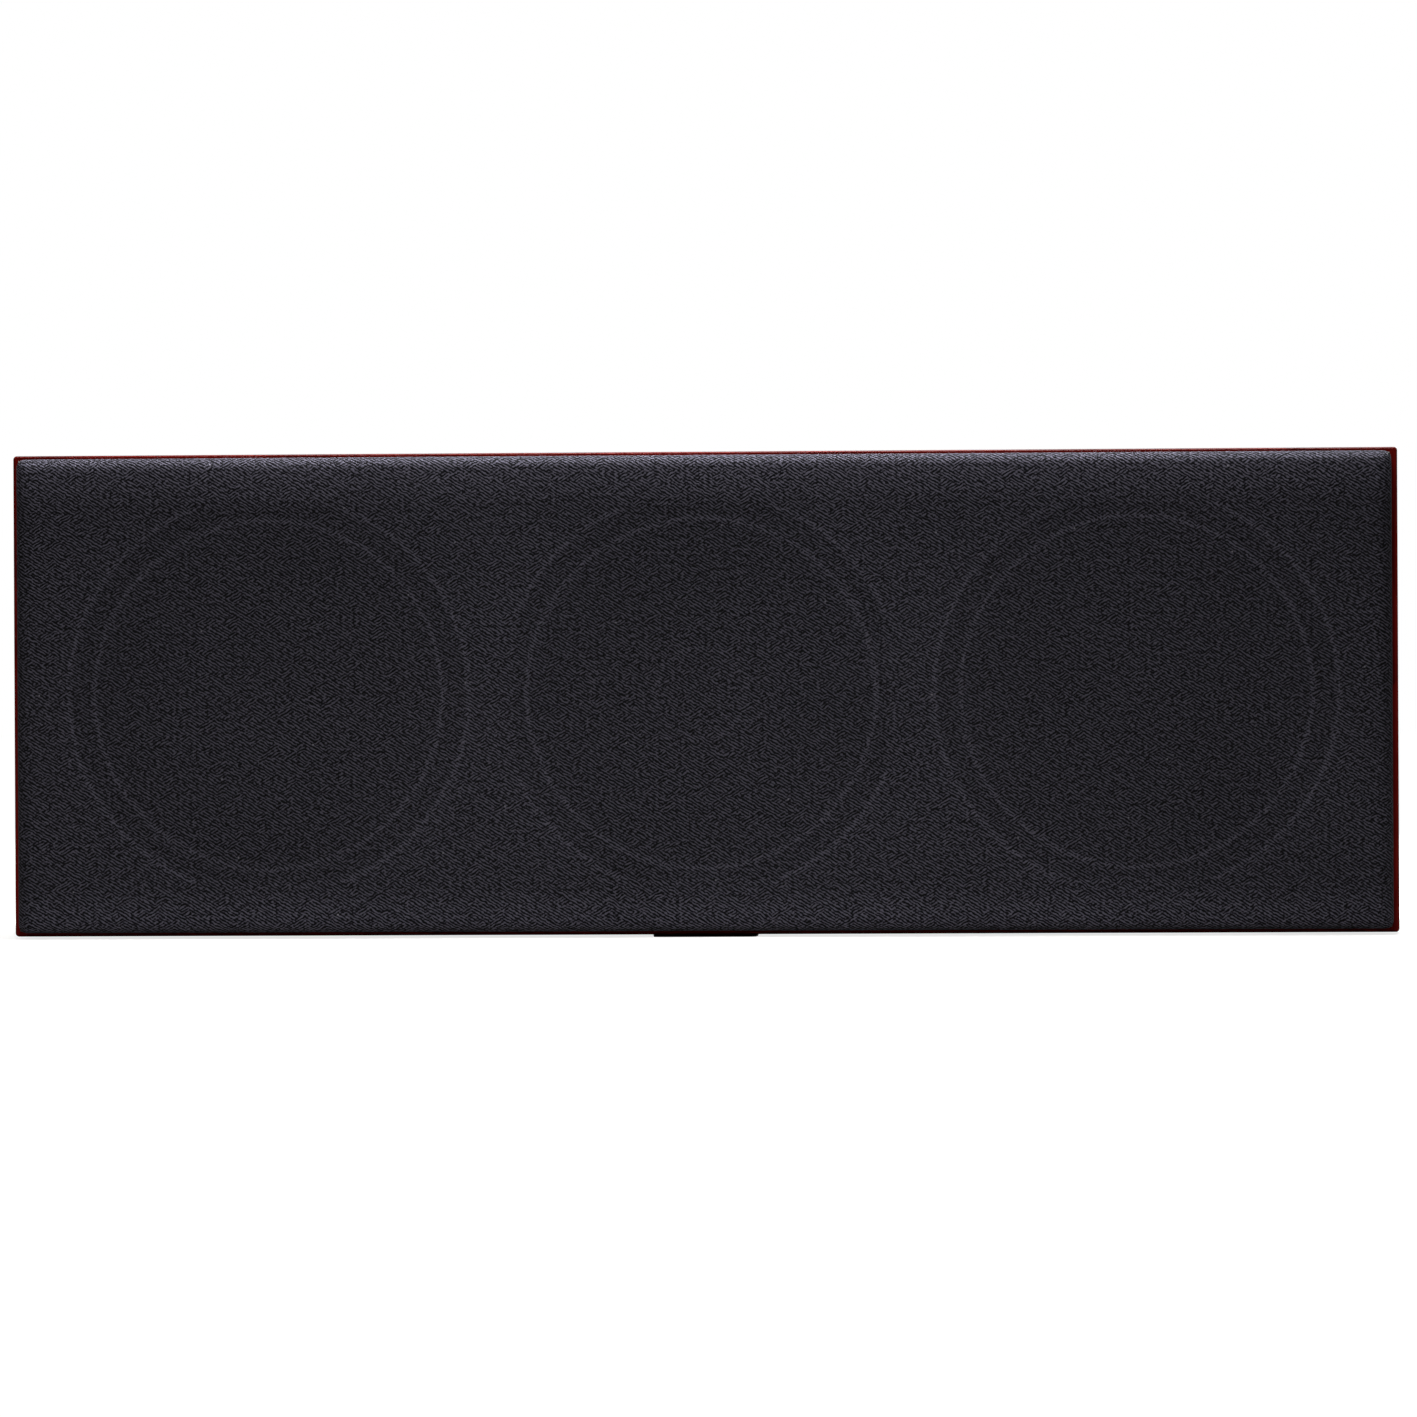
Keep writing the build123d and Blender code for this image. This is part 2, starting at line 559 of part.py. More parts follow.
def surround(x):
    """Rubber half roll with a flat lip on the cone and another on the flange."""
    with BuildPart() as roll:
        with BuildSketch(profile_plane(x)):
            with Locations((ROLL_CENTER, 0)):
                Circle(ROLL_RADIUS + SURROUND_THICKNESS / 2)
                Circle(ROLL_RADIUS - SURROUND_THICKNESS / 2, mode=Mode.SUBTRACT)
                Rectangle(
                    4 * ROLL_RADIUS, 2 * ROLL_RADIUS, align=(Align.CENTER, Align.MAX), mode=Mode.SUBTRACT
                )
            with Locations((CONE_RIM_RADIUS, 0)):
                Rectangle(CONE_RIM, SURROUND_THICKNESS, align=(Align.MIN, Align.MIN))
            with Locations((ROLL_CENTER + ROLL_RADIUS, 0)):
                Rectangle(SURROUND_LIP, SURROUND_THICKNESS, align=(Align.MIN, Align.MIN))
        revolve(axis=driver_axis(x))
    return roll


def spider(x):
    """Corrugated disc that centers the coil, flat where it is glued to the shelf."""
    inner = FORMER_OUTER_RADIUS + GLUE_LINE
    folds = 2 * SPIDER_WAVES
    step = (SHELF_INNER_RADIUS - inner) / folds
    wave = [(inner + i * step, -SHELF_DEPTH + i % 2 * SPIDER_WAVE_HEIGHT) for i in range(folds + 1)]
    under = wave + [(SHELF_OUTER_RADIUS - GLUE_LINE, -SHELF_DEPTH)]
    over = [(radius, height + SPIDER_THICKNESS) for radius, height in reversed(under)]
    return turned_outline(x, under + over)


def back_plate(x, bore):
    """Steel back plate with the pole, bored for the vent or for the tweeter's post."""
    return turned_outline(
        x,
        [
            (bore, MOTOR_BACK),
            (TOP_PLATE_RADIUS, MOTOR_BACK),
            (TOP_PLATE_RADIUS, BACK_PLATE_FRONT),
            (POLE_RADIUS, BACK_PLATE_FRONT),
            (POLE_RADIUS, TOP_PLATE_FRONT),
            (bore, TOP_PLATE_FRONT),
        ],
    )


# Driver pieces that move together
def cone(x):
    """Straight paper cone with a flat rim under the surround's lip."""
    return turned_outline(
        x,
        [
            (FORMER_OUTER_RADIUS, -CONE_DEPTH),
            (CONE_RIM_RADIUS, -CONE_THICKNESS),
            (CONE_RADIUS, -CONE_THICKNESS),
            (CONE_RADIUS, 0),
            (CONE_RIM_RADIUS, 0),
            (FORMER_OUTER_RADIUS, -CONE_DEPTH + CONE_THICKNESS),
        ],
    )


def voice_coil(x):
    """Former with the winding round its back end, in the gap of the motor."""
    front = -CONE_DEPTH + CONE_THICKNESS
    return turned_outline(
        x,
        [
            (FORMER_RADIUS, front),
            (FORMER_OUTER_RADIUS, front),
            (FORMER_OUTER_RADIUS, WINDING_FRONT),
            (WINDING_RADIUS, WINDING_FRONT),
            (WINDING_RADIUS, WINDING_BACK),
            (FORMER_RADIUS, WINDING_BACK),
        ],
    )


def dome_shell(x, radius, rise, thickness, base):
    """A thin spherical cap standing on the plane at height base."""
    sphere_radius = (radius**2 + rise**2) / (2 * rise)
    with BuildPart() as shell:
        with BuildSketch(profile_plane(x)):
            with Locations((0, base + rise - sphere_radius)):
                Circle(sphere_radius)
                Circle(sphere_radius - thickness, mode=Mode.SUBTRACT)
            with Locations((0, base)):
                Rectangle(radius, rise, align=(Align.MIN, Align.MIN), mode=Mode.INTERSECT)
        revolve(axis=driver_axis(x))
    return shell


for name, x in DRIVERS.items():
    save(basket(x), f"{name}_basket")
    save(trim_ring(x), f"{name}_trim_ring")
    save(surround(x), f"{name}_surround")
    save(spider(x), f"{name}_spider")
    top_plate = turned_ring(x, PLATE_BORE_RADIUS, TOP_PLATE_RADIUS, TOP_PLATE_FRONT, MAGNET_FRONT)
    save(top_plate, f"{name}_top_plate")
    magnet = turned_ring(x, MAGNET_BORE_RADIUS, MAGNET_RADIUS, MAGNET_FRONT, BACK_PLATE_FRONT)
    save(magnet, f"{name}_magnet")
    pole_bore = VENT_RADIUS if name in WOOFERS else POST_RADIUS + POST_CLEARANCE
    save(back_plate(x, pole_bore), f"{name}_back_plate")
    save(cone(x), f"{name}_cone")
    save(voice_coil(x), f"{name}_voice_coil")

for name, x in WOOFERS.items():
    cap_base = cone_height(DUST_CAP_RADIUS) + GLUE_LINE
    save(dome_shell(x, DUST_CAP_RADIUS, DUST_CAP_RISE, DUST_CAP_THICKNESS, cap_base), f"{name}_dust_cap")

# Gaskets between the flanges and the rebates, pierced for the screws
with BuildPart(FRONT) as driver_gaskets:
    with BuildSketch(FRONT.offset(-FLANGE_THICKNESS)):
        with GridLocations(DRIVER_SPACING, 0, 3, 1):
            Circle(FLANGE_RADIUS)
            Circle(DRIVER_HOLE_RADIUS, mode=Mode.SUBTRACT)
            with PolarLocations(SCREW_CIRCLE_RADIUS, SCREWS_PER_DRIVER):
                Circle(SCREW_HOLE_RADIUS, mode=Mode.SUBTRACT)
    extrude(amount=-GASKET_THICKNESS)
save(driver_gaskets, "driver_gaskets")

# Screws: one kind for the drivers and for the terminal plate
FLANGE_SPOTS = list(PolarLocations(SCREW_CIRCLE_RADIUS, SCREWS_PER_DRIVER))
SCREW_SEATS = [driver_plane(x).location * spot for x in DRIVERS.values() for spot in FLANGE_SPOTS]
SCREW_SEATS += [REAR.offset(PLATE_THICKNESS).location * Location(point) for point in PLATE_SCREW_POINTS]
with BuildPart() as wood_screws:
    with Locations(*SCREW_SEATS):
        Cylinder(SCREW_HEAD_RADIUS, SCREW_HEAD_HEIGHT, align=(Align.CENTER, Align.CENTER, Align.MIN))
        Cylinder(SCREW_RADIUS, SCREW_LENGTH, align=(Align.CENTER, Align.CENTER, Align.MAX))
save(wood_screws, "wood_screws")

# Tweeter: pod and post in one turning, motor, dome and the waveguide ring round it
POD_BACK = POD_FRONT - POD_LENGTH
POD_FLOOR = POD_BACK + POD_WALL
MOTOR_FRONT = POD_FLOOR + MOTOR_HEIGHT
DOME_BASE = MOTOR_FRONT + GLUE_LINE
tweeter_pod = turned_outline(
    0,
    [
        (0, MOTOR_BACK),
        (POST_RADIUS, MOTOR_BACK),
        (POST_RADIUS, POD_BACK),
        (POD_RADIUS - POD_WALL, POD_BACK),
        (POD_RADIUS, POD_FLOOR),
        (POD_RADIUS, POD_FRONT),
        (POD_RADIUS - POD_WALL, POD_FRONT),
        (POD_RADIUS - POD_WALL, POD_FLOOR),
        (0, POD_FLOOR),
    ],
)
save(tweeter_pod, "tweeter_pod")
save(turned_ring(0, 0, POD_RADIUS - POD_WALL - MOTOR_MARGIN, MOTOR_FRONT, POD_FLOOR), "tweeter_motor")
save(dome_shell(0, DOME_RADIUS, DOME_RISE, DOME_THICKNESS, DOME_BASE), "tweeter_dome")

with BuildPart() as tweeter_waveguide:
    lip = CREST_HEIGHT - WAVEGUIDE_CREST_ROUND
    with BuildSketch(profile_plane(0)):
        with BuildLine():
            Polyline(
                (WAVEGUIDE_CREST_RADIUS - WAVEGUIDE_CREST_ROUND, lip),
                (WAVEGUIDE_THROAT_RADIUS, DOME_BASE + DOME_FLANGE),
                (WAVEGUIDE_THROAT_RADIUS, DOME_BASE),
                (POD_RADIUS - POD_WALL - MOTOR_MARGIN, DOME_BASE),
                (POD_RADIUS - POD_WALL - MOTOR_MARGIN, POD_FRONT),
                (POD_RADIUS, POD_FRONT),
                (WAVEGUIDE_CREST_RADIUS + WAVEGUIDE_CREST_ROUND, lip),
            )
            ThreePointArc(
                (WAVEGUIDE_CREST_RADIUS + WAVEGUIDE_CREST_ROUND, lip),
                (WAVEGUIDE_CREST_RADIUS, CREST_HEIGHT),
                (WAVEGUIDE_CREST_RADIUS - WAVEGUIDE_CREST_ROUND, lip),
            )
        make_face()
    revolve(axis=driver_axis(0))
save(tweeter_waveguide, "tweeter_waveguide")


# Reflex ports: a tube flared at the mouth, with a flange on the outside of the rear panel
def port_tube(x):
    throat = PORT_FLANGE_THICKNESS - PORT_FLARE
    sleeve = PORT_RADIUS + PORT_FLARE + PORT_WALL
    mouth = (PORT_RADIUS + PORT_FLARE, PORT_FLANGE_THICKNESS)
    inner_end = PORT_FLANGE_THICKNESS - PORT_LENGTH
    section = Plane((x, REAR_OUTER_Y, AXIS_Z), x_dir=(1, 0, 0), z_dir=(0, 0, 1))
    with BuildPart() as tube:
        with BuildSketch(section):
            with BuildLine():
                RadiusArc((PORT_RADIUS, throat), mouth, PORT_FLARE)
                Polyline(
                    mouth,
                    (PORT_FLANGE_RADIUS, PORT_FLANGE_THICKNESS),
                    (PORT_FLANGE_RADIUS, 0),
                    (sleeve, 0),
                    (sleeve, throat),
                    (PORT_RADIUS + PORT_WALL, throat - PORT_FLARE),
                    (PORT_RADIUS + PORT_WALL, inner_end),
                    (PORT_RADIUS, inner_end),
                    (PORT_RADIUS, throat),
                )
            make_face()
        revolve(axis=Axis((x, REAR_OUTER_Y, AXIS_Z), (0, 1, 0)))
    return tube


save(port_tube(-DRIVER_SPACING), "port_tube_left")
save(port_tube(DRIVER_SPACING), "port_tube_right")

# Terminal plate
with BuildPart(REAR.offset(PLATE_THICKNESS)) as terminal_plate:
    with BuildSketch(REAR):
        RectangleRounded(PLATE_WIDTH, PLATE_HEIGHT, PLATE_CORNER)
    extrude(amount=PLATE_THICKNESS)
    chamfer(terminal_plate.faces().sort_by(Axis.Y)[-1].edges(), PLATE_THICKNESS / 3)
    with GridLocations(POST_SPACING, 0, 2, 1):
        Hole(STUD_RADIUS + CAP_CLEARANCE)
    with Locations(*PLATE_SCREW_POINTS):
        Hole(SCREW_HOLE_RADIUS)
save(terminal_plate, "terminal_plate")

# Binding posts: studs with a plug bore, collars that clamp them to the plate, and the screw caps
STUD_TIP = CAP_START + CAP_LENGTH - STUD_RECESS
STUD_TAIL = -STUD_HEAD_HEIGHT - TAIL_LENGTH
with BuildPart(REAR) as binding_post_studs:
    with GridLocations(POST_SPACING, 0, 2, 1):
        Cylinder(STUD_RADIUS, STUD_TIP, align=(Align.CENTER, Align.CENTER, Align.MIN))
        Cylinder(STUD_HEAD_RADIUS, STUD_HEAD_HEIGHT, align=(Align.CENTER, Align.CENTER, Align.MAX))
        Cylinder(TAIL_RADIUS, -STUD_TAIL, align=(Align.CENTER, Align.CENTER, Align.MAX))
        with Locations((0, 0, STUD_TIP)):
            Hole(PLUG_BORE_RADIUS, depth=PLUG_BORE_DEPTH)
save(binding_post_studs, "binding_post_studs")

with BuildPart() as binding_post_collars:
    with BuildSketch(REAR.offset(PLATE_THICKNESS)):
        with GridLocations(POST_SPACING, 0, 2, 1):
            RegularPolygon(COLLAR_RADIUS, 6)
            Circle(STUD_RADIUS + CAP_CLEARANCE, mode=Mode.SUBTRACT)
    extrude(amount=COLLAR_HEIGHT)
save(binding_post_collars, "binding_post_collars")


def post_cap(side):
    """Grooved screw cap on a stud; side is -1 or 1 along the rear panel's x."""
    start = REAR.offset(CAP_START)
    center = (side * POST_SPACING / 2, 0)
    with BuildPart() as cap:
        with BuildSketch(start):
            with Locations(center):
                Circle(CAP_RADIUS)
        extrude(amount=CAP_LENGTH)
        chamfer(cap.faces().sort_by(Axis.Y)[-1].edges(), CAP_CHAMFER)
        with BuildSketch(start):
            with Locations(center):
                Circle(STUD_RADIUS + CAP_CLEARANCE)
                with PolarLocations(CAP_RADIUS, CAP_GROOVES):
                    Circle(CAP_GROOVE_RADIUS)
        extrude(amount=CAP_LENGTH, mode=Mode.SUBTRACT)
    return cap


save(post_cap(-1), "binding_post_cap_red")
save(post_cap(1), "binding_post_cap_black")

# Crossover: a board on spacers with inductors, capacitors and resistors
BOARD_TOP = Plane((0, BOARD_Y, BOARD_TOP_Z))

with BuildPart() as crossover_board:
    with BuildSketch(Plane((0, BOARD_Y, BOARD_BOTTOM_Z))):
        Rectangle(BOARD_WIDTH, BOARD_LENGTH)
    extrude(amount=BOARD_THICKNESS)
save(crossover_board, "crossover_board")

with BuildPart() as crossover_spacers:
    with BuildSketch(Plane((0, BOARD_Y, FLOOR_Z))):
        with GridLocations(BOARD_WIDTH - 2 * SPACER_INSET, BOARD_LENGTH - 2 * SPACER_INSET, 2, 2):
            Circle(SPACER_RADIUS)
    extrude(amount=SPACER_HEIGHT)
save(crossover_spacers, "crossover_spacers")

with BuildPart() as crossover_inductors:
    with BuildSketch(BOARD_TOP):
        with Locations(*COIL_POINTS):
            Circle(COIL_RADIUS)
            Circle(COIL_BORE_RADIUS, mode=Mode.SUBTRACT)
    extrude(amount=COIL_HEIGHT)
save(crossover_inductors, "crossover_inductors")

with BuildPart(BOARD_TOP) as crossover_capacitors:
    with Locations((0, 0, CAPACITOR_RADIUS)):
        with Locations(*CAPACITOR_POINTS):
            Cylinder(CAPACITOR_RADIUS, CAPACITOR_LENGTH, rotation=(0, 90, 0))
save(crossover_capacitors, "crossover_capacitors")

with BuildPart() as crossover_resistors:
    with BuildSketch(BOARD_TOP):
        with Locations(*RESISTOR_POINTS):
            Rectangle(RESISTOR_LENGTH, RESISTOR_SIZE)
    extrude(amount=RESISTOR_SIZE)
save(crossover_resistors, "crossover_resistors")

# Leads: straight runs with rounded bends, from each driver and binding post down to the board
TAG_Y = FRONT_Y - TAG_BACK
TAG_Z = AXIS_Z - TAG_RADIUS
LANDING_X = BOARD_WIDTH / 2 - 2 * SPACER_INSET
POST_RUN_Y = REAR_OUTER_Y + STUD_TAIL - 2 * LEAD_BEND
TWEETER_RUN_Y = LEAD_HOLE_POINT[0] + LEAD_BEND
LEAD_ROUTES = [
    [(0, TAG_Y, TAG_Z), (0, LEAD_HOLE_POINT[0], TAG_Z), (0, LEAD_HOLE_POINT[0], BOARD_TOP_Z)],
    [(0, FRONT_Y - MOTOR_BACK, AXIS_Z), (0, TWEETER_RUN_Y, AXIS_Z), (0, TWEETER_RUN_Y, BOARD_TOP_Z)],
]
for side in (-1, 1):
    woofer_x = side * DRIVER_SPACING
    hole_y, hole_z = LEAD_HOLE_POINT
    post_x = side * POST_SPACING / 2
    LEAD_ROUTES.append(
        [
            (woofer_x, TAG_Y, TAG_Z),
            (woofer_x, hole_y, hole_z),
            (side * LANDING_X, hole_y, hole_z),
            (side * LANDING_X, hole_y, BOARD_TOP_Z),
        ]
    )
    LEAD_ROUTES.append(
        [
            (post_x, REAR_OUTER_Y + STUD_TAIL, AXIS_Z),
            (post_x, POST_RUN_Y, AXIS_Z),
            (post_x, POST_RUN_Y, BOARD_TOP_Z),
        ]
    )

with BuildPart() as internal_leads:
    for route in LEAD_ROUTES:
        with BuildLine() as path:
            FilletPolyline(*route, radius=LEAD_BEND)
        with BuildSketch(Plane(path.line @ 0, z_dir=path.line % 0)):
            Circle(LEAD_RADIUS)
        sweep(path=path.line)
save(internal_leads, "internal_leads")
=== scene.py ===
"""Looks of a center channel speaker: veneered cabinet, knit grille, three drivers, ports and terminals.

Sizes are in millimetres and turned to metres by MM. +Z is up and the front faces -Y.
"""

import math

import bmesh
import bpy
import numpy as np
from mathutils import Matrix, Quaternion, Vector


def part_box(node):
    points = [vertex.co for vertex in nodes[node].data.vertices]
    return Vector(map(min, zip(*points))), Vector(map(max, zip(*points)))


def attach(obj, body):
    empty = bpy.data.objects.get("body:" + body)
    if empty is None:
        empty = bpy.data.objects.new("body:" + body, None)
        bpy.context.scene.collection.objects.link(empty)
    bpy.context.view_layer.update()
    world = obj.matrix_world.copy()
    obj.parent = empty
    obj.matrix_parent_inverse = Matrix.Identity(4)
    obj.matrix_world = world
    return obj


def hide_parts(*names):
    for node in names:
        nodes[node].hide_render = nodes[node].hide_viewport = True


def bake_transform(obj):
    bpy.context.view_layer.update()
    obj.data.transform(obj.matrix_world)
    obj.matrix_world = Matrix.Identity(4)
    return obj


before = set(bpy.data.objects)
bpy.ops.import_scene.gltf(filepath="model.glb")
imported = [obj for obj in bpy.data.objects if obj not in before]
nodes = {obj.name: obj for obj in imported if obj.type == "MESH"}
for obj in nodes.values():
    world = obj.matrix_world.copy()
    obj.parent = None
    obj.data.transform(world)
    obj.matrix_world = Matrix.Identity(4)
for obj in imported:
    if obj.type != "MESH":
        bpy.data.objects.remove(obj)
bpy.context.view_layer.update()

MM = 0.001

# Places taken from the CAD frame
SLEEVE_LOW, SLEEVE_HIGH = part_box("cabinet_sleeve")
CLOTH_LOW, CLOTH_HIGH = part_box("grille_cloth")
PLATE_FACE_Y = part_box("terminal_plate")[1].y
FRONT_Y = SLEEVE_LOW.y
AXIS_Z = (SLEEVE_LOW.z + SLEEVE_HIGH.z) / 2
DRIVER_X = {
    "left_woofer": sum(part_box("left_woofer_cone"), Vector()).x / 2,
    "middle": sum(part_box("middle_cone"), Vector()).x / 2,
    "right_woofer": sum(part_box("right_woofer_cone"), Vector()).x / 2,
}

# Grille cloth, its openings behind and what stands close behind it
CLOTH_EDGE = 5.5 * MM
CLOTH_CORNER_POWER = 3.2
CLOTH_EDGE_STEPS = 7
CLOTH_GRID = 2.4 * MM
CLOTH_SKIN = 0.5 * MM
HEM = 10.0 * MM
HEM_FOLD = 1.2 * MM
OPENING_RADIUS = 91.5 * MM
OPENING_FLAT = 85.0 * MM
MIDDLE_FLAT = 84.5 * MM
CREST_RADIUS = 79.6 * MM
TWEETER_CREST_RADIUS = 20.5 * MM
CLOTH_DIP = 0.18 * MM
DIP_RUN = 5 * MM

# Surround and spider profiles: radius and height in front of the baffle
ROLL_CENTER = 61.0
ROLL_RADIUS = 6.0
ROLL_THICKNESS = 1.0
LIP_INNER = 51.0
LIP_OUTER = 72.0
SPIDER_INNER = 16.6
SPIDER_WAVES_END = 45.7
SPIDER_OUTER = 51.0
SPIDER_HEIGHT = -37.5
SPIDER_WAVE = 1.6
SPIDER_THICKNESS = 0.7
SPIDER_WAVES = 4
TURN_STEPS = 144

# Screws
SCREW_CIRCLE = 77.0
SCREWS_PER_DRIVER = 6
PLATE_SCREW_X = 44.5
PLATE_SCREW_Z = 29.5
HEAD_RADIUS = 3.2
HEAD_HEIGHT = 2.4
SHANK_RADIUS = 2.0
SHANK_LENGTH = 20.0
RECESS_REACH = 1.7
RECESS_WIDTH = 0.42
RECESS_DEPTH = 1.3
SCREW_SIDES = 24
SCREW_TWIST = 0.7

# Marks and rib on the terminal plate
POST_X = 9.5
MARK_RISE = 21.0
MARK_LENGTH = 6.0
MARK_WIDTH = 1.3
MARK_HEIGHT = 0.25
MARK_BEVEL = 0.12
RIB_HALF_WIDTH = 33.0
RIB_HALF_HEIGHT = 14.5
RIB_CORNER = 6.0
RIB_SIZE = 1.0
RIB_RISE = 0.7
RIB_SINK = 0.1
RIB_STEPS = 8

# Depth of the band round the cabinet's front rim that is painted brighter and redder, as painted light where the
# rim catches the lamps
FRONT_RIM_LIGHT_BAND = 0.8 * MM

# Where most values of one noise texture lie, and of the product of two
NOISE_LOW, NOISE_HIGH = 0.3, 0.7
PRODUCT_LOW, PRODUCT_HIGH = 0.12, 0.40

# Studio: the room's share of the light, and the floor's own glow, low near the part and white further out
FLOOR_SIZE = 30.0
ROOM_LIGHT = 0.02
FLOOR_GLOW = (0.76, 1.0)
SHADOW_REACH = (0.45, 1.2)


def colour(code):
    """Linear colour of an sRGB hex value."""
    parts = [int(code[i : i + 2], 16) / 255 for i in (1, 3, 5)]
    return (*[c / 12.92 if c <= 0.04045 else ((c + 0.055) / 1.055) ** 2.4 for c in parts], 1.0)


def per(size):
    """Texture scale that repeats once in this many millimetres."""
    return 1 / (size * MM)


def add(tree, kind, inputs=(), out=0, **settings):
    """Adds a node, sets its settings, fills or links its inputs, and gives the named output."""
    made = tree.nodes.new("ShaderNode" + kind)
    for key, value in settings.items():
        setattr(made, key, value)
    for key, value in dict(inputs).items():
        if isinstance(value, bpy.types.NodeSocket):
            tree.links.new(value, made.inputs[key])
        else:
            made.inputs[key].default_value = value
    return made.outputs[out] if made.outputs else None


def start(name):
    """An empty node material with object coordinates in metres."""
    made = bpy.data.materials.new(name)
    made.use_nodes = True
    made.node_tree.nodes.clear()
    return made, made.node_tree, add(made.node_tree, "TexCoord", out="Object")


def close(tree, **sockets):
    """Ends a material with one shader, whose sockets are named with _ for a space."""
    shader = add(tree, "BsdfPrincipled", {key.replace("_", " "): value for key, value in sockets.items()})
    add(tree, "OutputMaterial", {"Surface": shader})


def warp_knit():
    """Charcoal polyester warp knit, stretched: short pale dashes that slant both ways on a dark ground, no gloss.

    Over an opening the cloth is painted a little darker than where board backs it, as painted shade from the
    hollow behind, and the rims that stand close behind it show as faint rings. The real stitch of about 1 mm is
    drawn 2.5 by 1.5 mm to show.
    """
    stitch_width, stitch_height, patch, jitter = 2.5, 1.5, 6.0, 3.2
    fibre_size, wander_size, drift_size, breaks = 1.5, 2.8, 70, 0.8
    lint_spacing, lint_size = 66.0, 0.4
    opening_painted_shade, ring_lift, ring_stitch, tweeter_share = -0.13, 0.2, 0.28, 0.45
    made, tree, place = start("polyester_warp_knit_charcoal")
    flat = add(tree, "Attribute", out="Vector", attribute_name="cloth_flat")
    axes = add(tree, "SeparateXYZ", {0: flat}).node.outputs
    fibre = add(tree, "TexNoise", {"Vector": flat, "Scale": per(fibre_size), "Detail": 1.0}, out="Fac")
    wander = add(tree, "TexNoise", {"Vector": flat, "Scale": per(wander_size), "Detail": 1.0}, out="Fac")
    broad = add(tree, "TexNoise", {"Vector": place, "Scale": per(drift_size), "Detail": 2.0}, out="Fac")
    choice = add(tree, "TexNoise", {"Vector": flat, "Scale": per(patch), "Detail": 1.0}, out="Fac")
    choice = add(tree, "MapRange", {"Value": choice, "From Min": 0.30, "From Max": 0.54})
    along = add(tree, "Math", {0: axes["X"], 1: 2 * math.pi * per(stitch_width)}, operation="MULTIPLY")
    row = add(tree, "Math", {0: axes["Y"], 1: 2 * math.pi * per(stitch_height)}, operation="MULTIPLY")
    row = add(tree, "Math", {0: wander, 1: 2 * jitter, 2: row}, operation="MULTIPLY_ADD")
    slants = []
    for slope in (1.0, -1.0):
        phase = add(tree, "Math", {0: along, 1: slope, 2: row}, operation="MULTIPLY_ADD")
        slants.append(add(tree, "Math", {0: phase}, operation="SINE"))
    dash = add(tree, "Mix", {0: choice, 2: slants[1], 3: slants[0]})
    broken = add(tree, "MapRange", {"Value": fibre, "From Min": NOISE_LOW, "From Max": NOISE_HIGH,
                                    "To Min": -breaks, "To Max": breaks})
    dash = add(tree, "Math", {0: dash, 1: broken}, operation="ADD")

    spread = add(tree, "SeparateXYZ", {0: place}).node.outputs
    height = add(tree, "Math", {0: spread["Z"], 1: AXIS_Z}, operation="SUBTRACT")
    radii = {}
    for name, x in DRIVER_X.items():
        offset = add(tree, "Math", {0: spread["X"], 1: x}, operation="SUBTRACT")
        pair = add(tree, "CombineXYZ", {"X": offset, "Y": height})
        radii[name] = add(tree, "VectorMath", {0: pair}, out="Value", operation="LENGTH")
    nearest = add(tree, "Math", {0: radii["left_woofer"], 1: radii["right_woofer"]}, operation="MINIMUM")
    nearest_all = add(tree, "Math", {0: nearest, 1: radii["middle"]}, operation="MINIMUM")

    def inside(value, limit, soft):
        """1 where the value is under the limit, 0 over it, with a soft change between."""
        return add(tree, "MapRange", {"Value": value, "From Min": limit + soft, "From Max": limit - soft},
                   interpolation_type="SMOOTHSTEP")

    def rim(value, radius, half_width):
        """1 on a line at this radius, fading to both sides."""
        away = add(tree, "Math", {0: value, 1: radius}, operation="SUBTRACT")
        away = add(tree, "Math", {0: away}, operation="ABSOLUTE")
        return inside(away, half_width, half_width)

    level = add(tree, "Math", {0: height}, operation="ABSOLUTE")
    aside = add(tree, "Math", {0: spread["X"]}, operation="ABSOLUTE")
    soft_edge, line = 1.0 * MM, 0.9 * MM
    above = inside(level, OPENING_FLAT, soft_edge)
    between = inside(aside, MIDDLE_FLAT, soft_edge)
    masks = []
    for side_mask, middle_mask in (
        (inside(nearest, OPENING_RADIUS, soft_edge), inside(radii["middle"], OPENING_RADIUS, soft_edge)),
        (rim(nearest, OPENING_RADIUS, line), rim(radii["middle"], OPENING_RADIUS, line)),
    ):
        middle_mask = add(tree, "Math", {0: middle_mask, 1: between}, operation="MULTIPLY")
        both = add(tree, "Math", {0: side_mask, 1: middle_mask}, operation="MAXIMUM")
        masks.append(add(tree, "Math", {0: both, 1: above}, operation="MULTIPLY"))
    opening, edge = masks
    crest = rim(nearest_all, CREST_RADIUS, line)
    tweeter = rim(radii["middle"], TWEETER_CREST_RADIUS, line)
    rings = add(tree, "Math", {0: edge, 1: crest}, operation="ADD")
    rings = add(tree, "Math", {0: tweeter, 1: tweeter_share, 2: rings}, operation="MULTIPLY_ADD")

    dash = add(tree, "Math", {0: rings, 1: ring_stitch, 2: dash}, operation="MULTIPLY_ADD")
    rise = add(tree, "MapRange", {"Value": dash, "From Min": -0.6, "From Max": 1.15},
               interpolation_type="SMOOTHSTEP")
    # Painted shade: the cloth is darker over the openings, where the hollow behind it lies in shade
    shade = add(tree, "Math", {0: opening, 1: opening_painted_shade, 2: 1.0}, operation="MULTIPLY_ADD")
    shade = add(tree, "Math", {0: rings, 1: ring_lift, 2: shade}, operation="MULTIPLY_ADD")
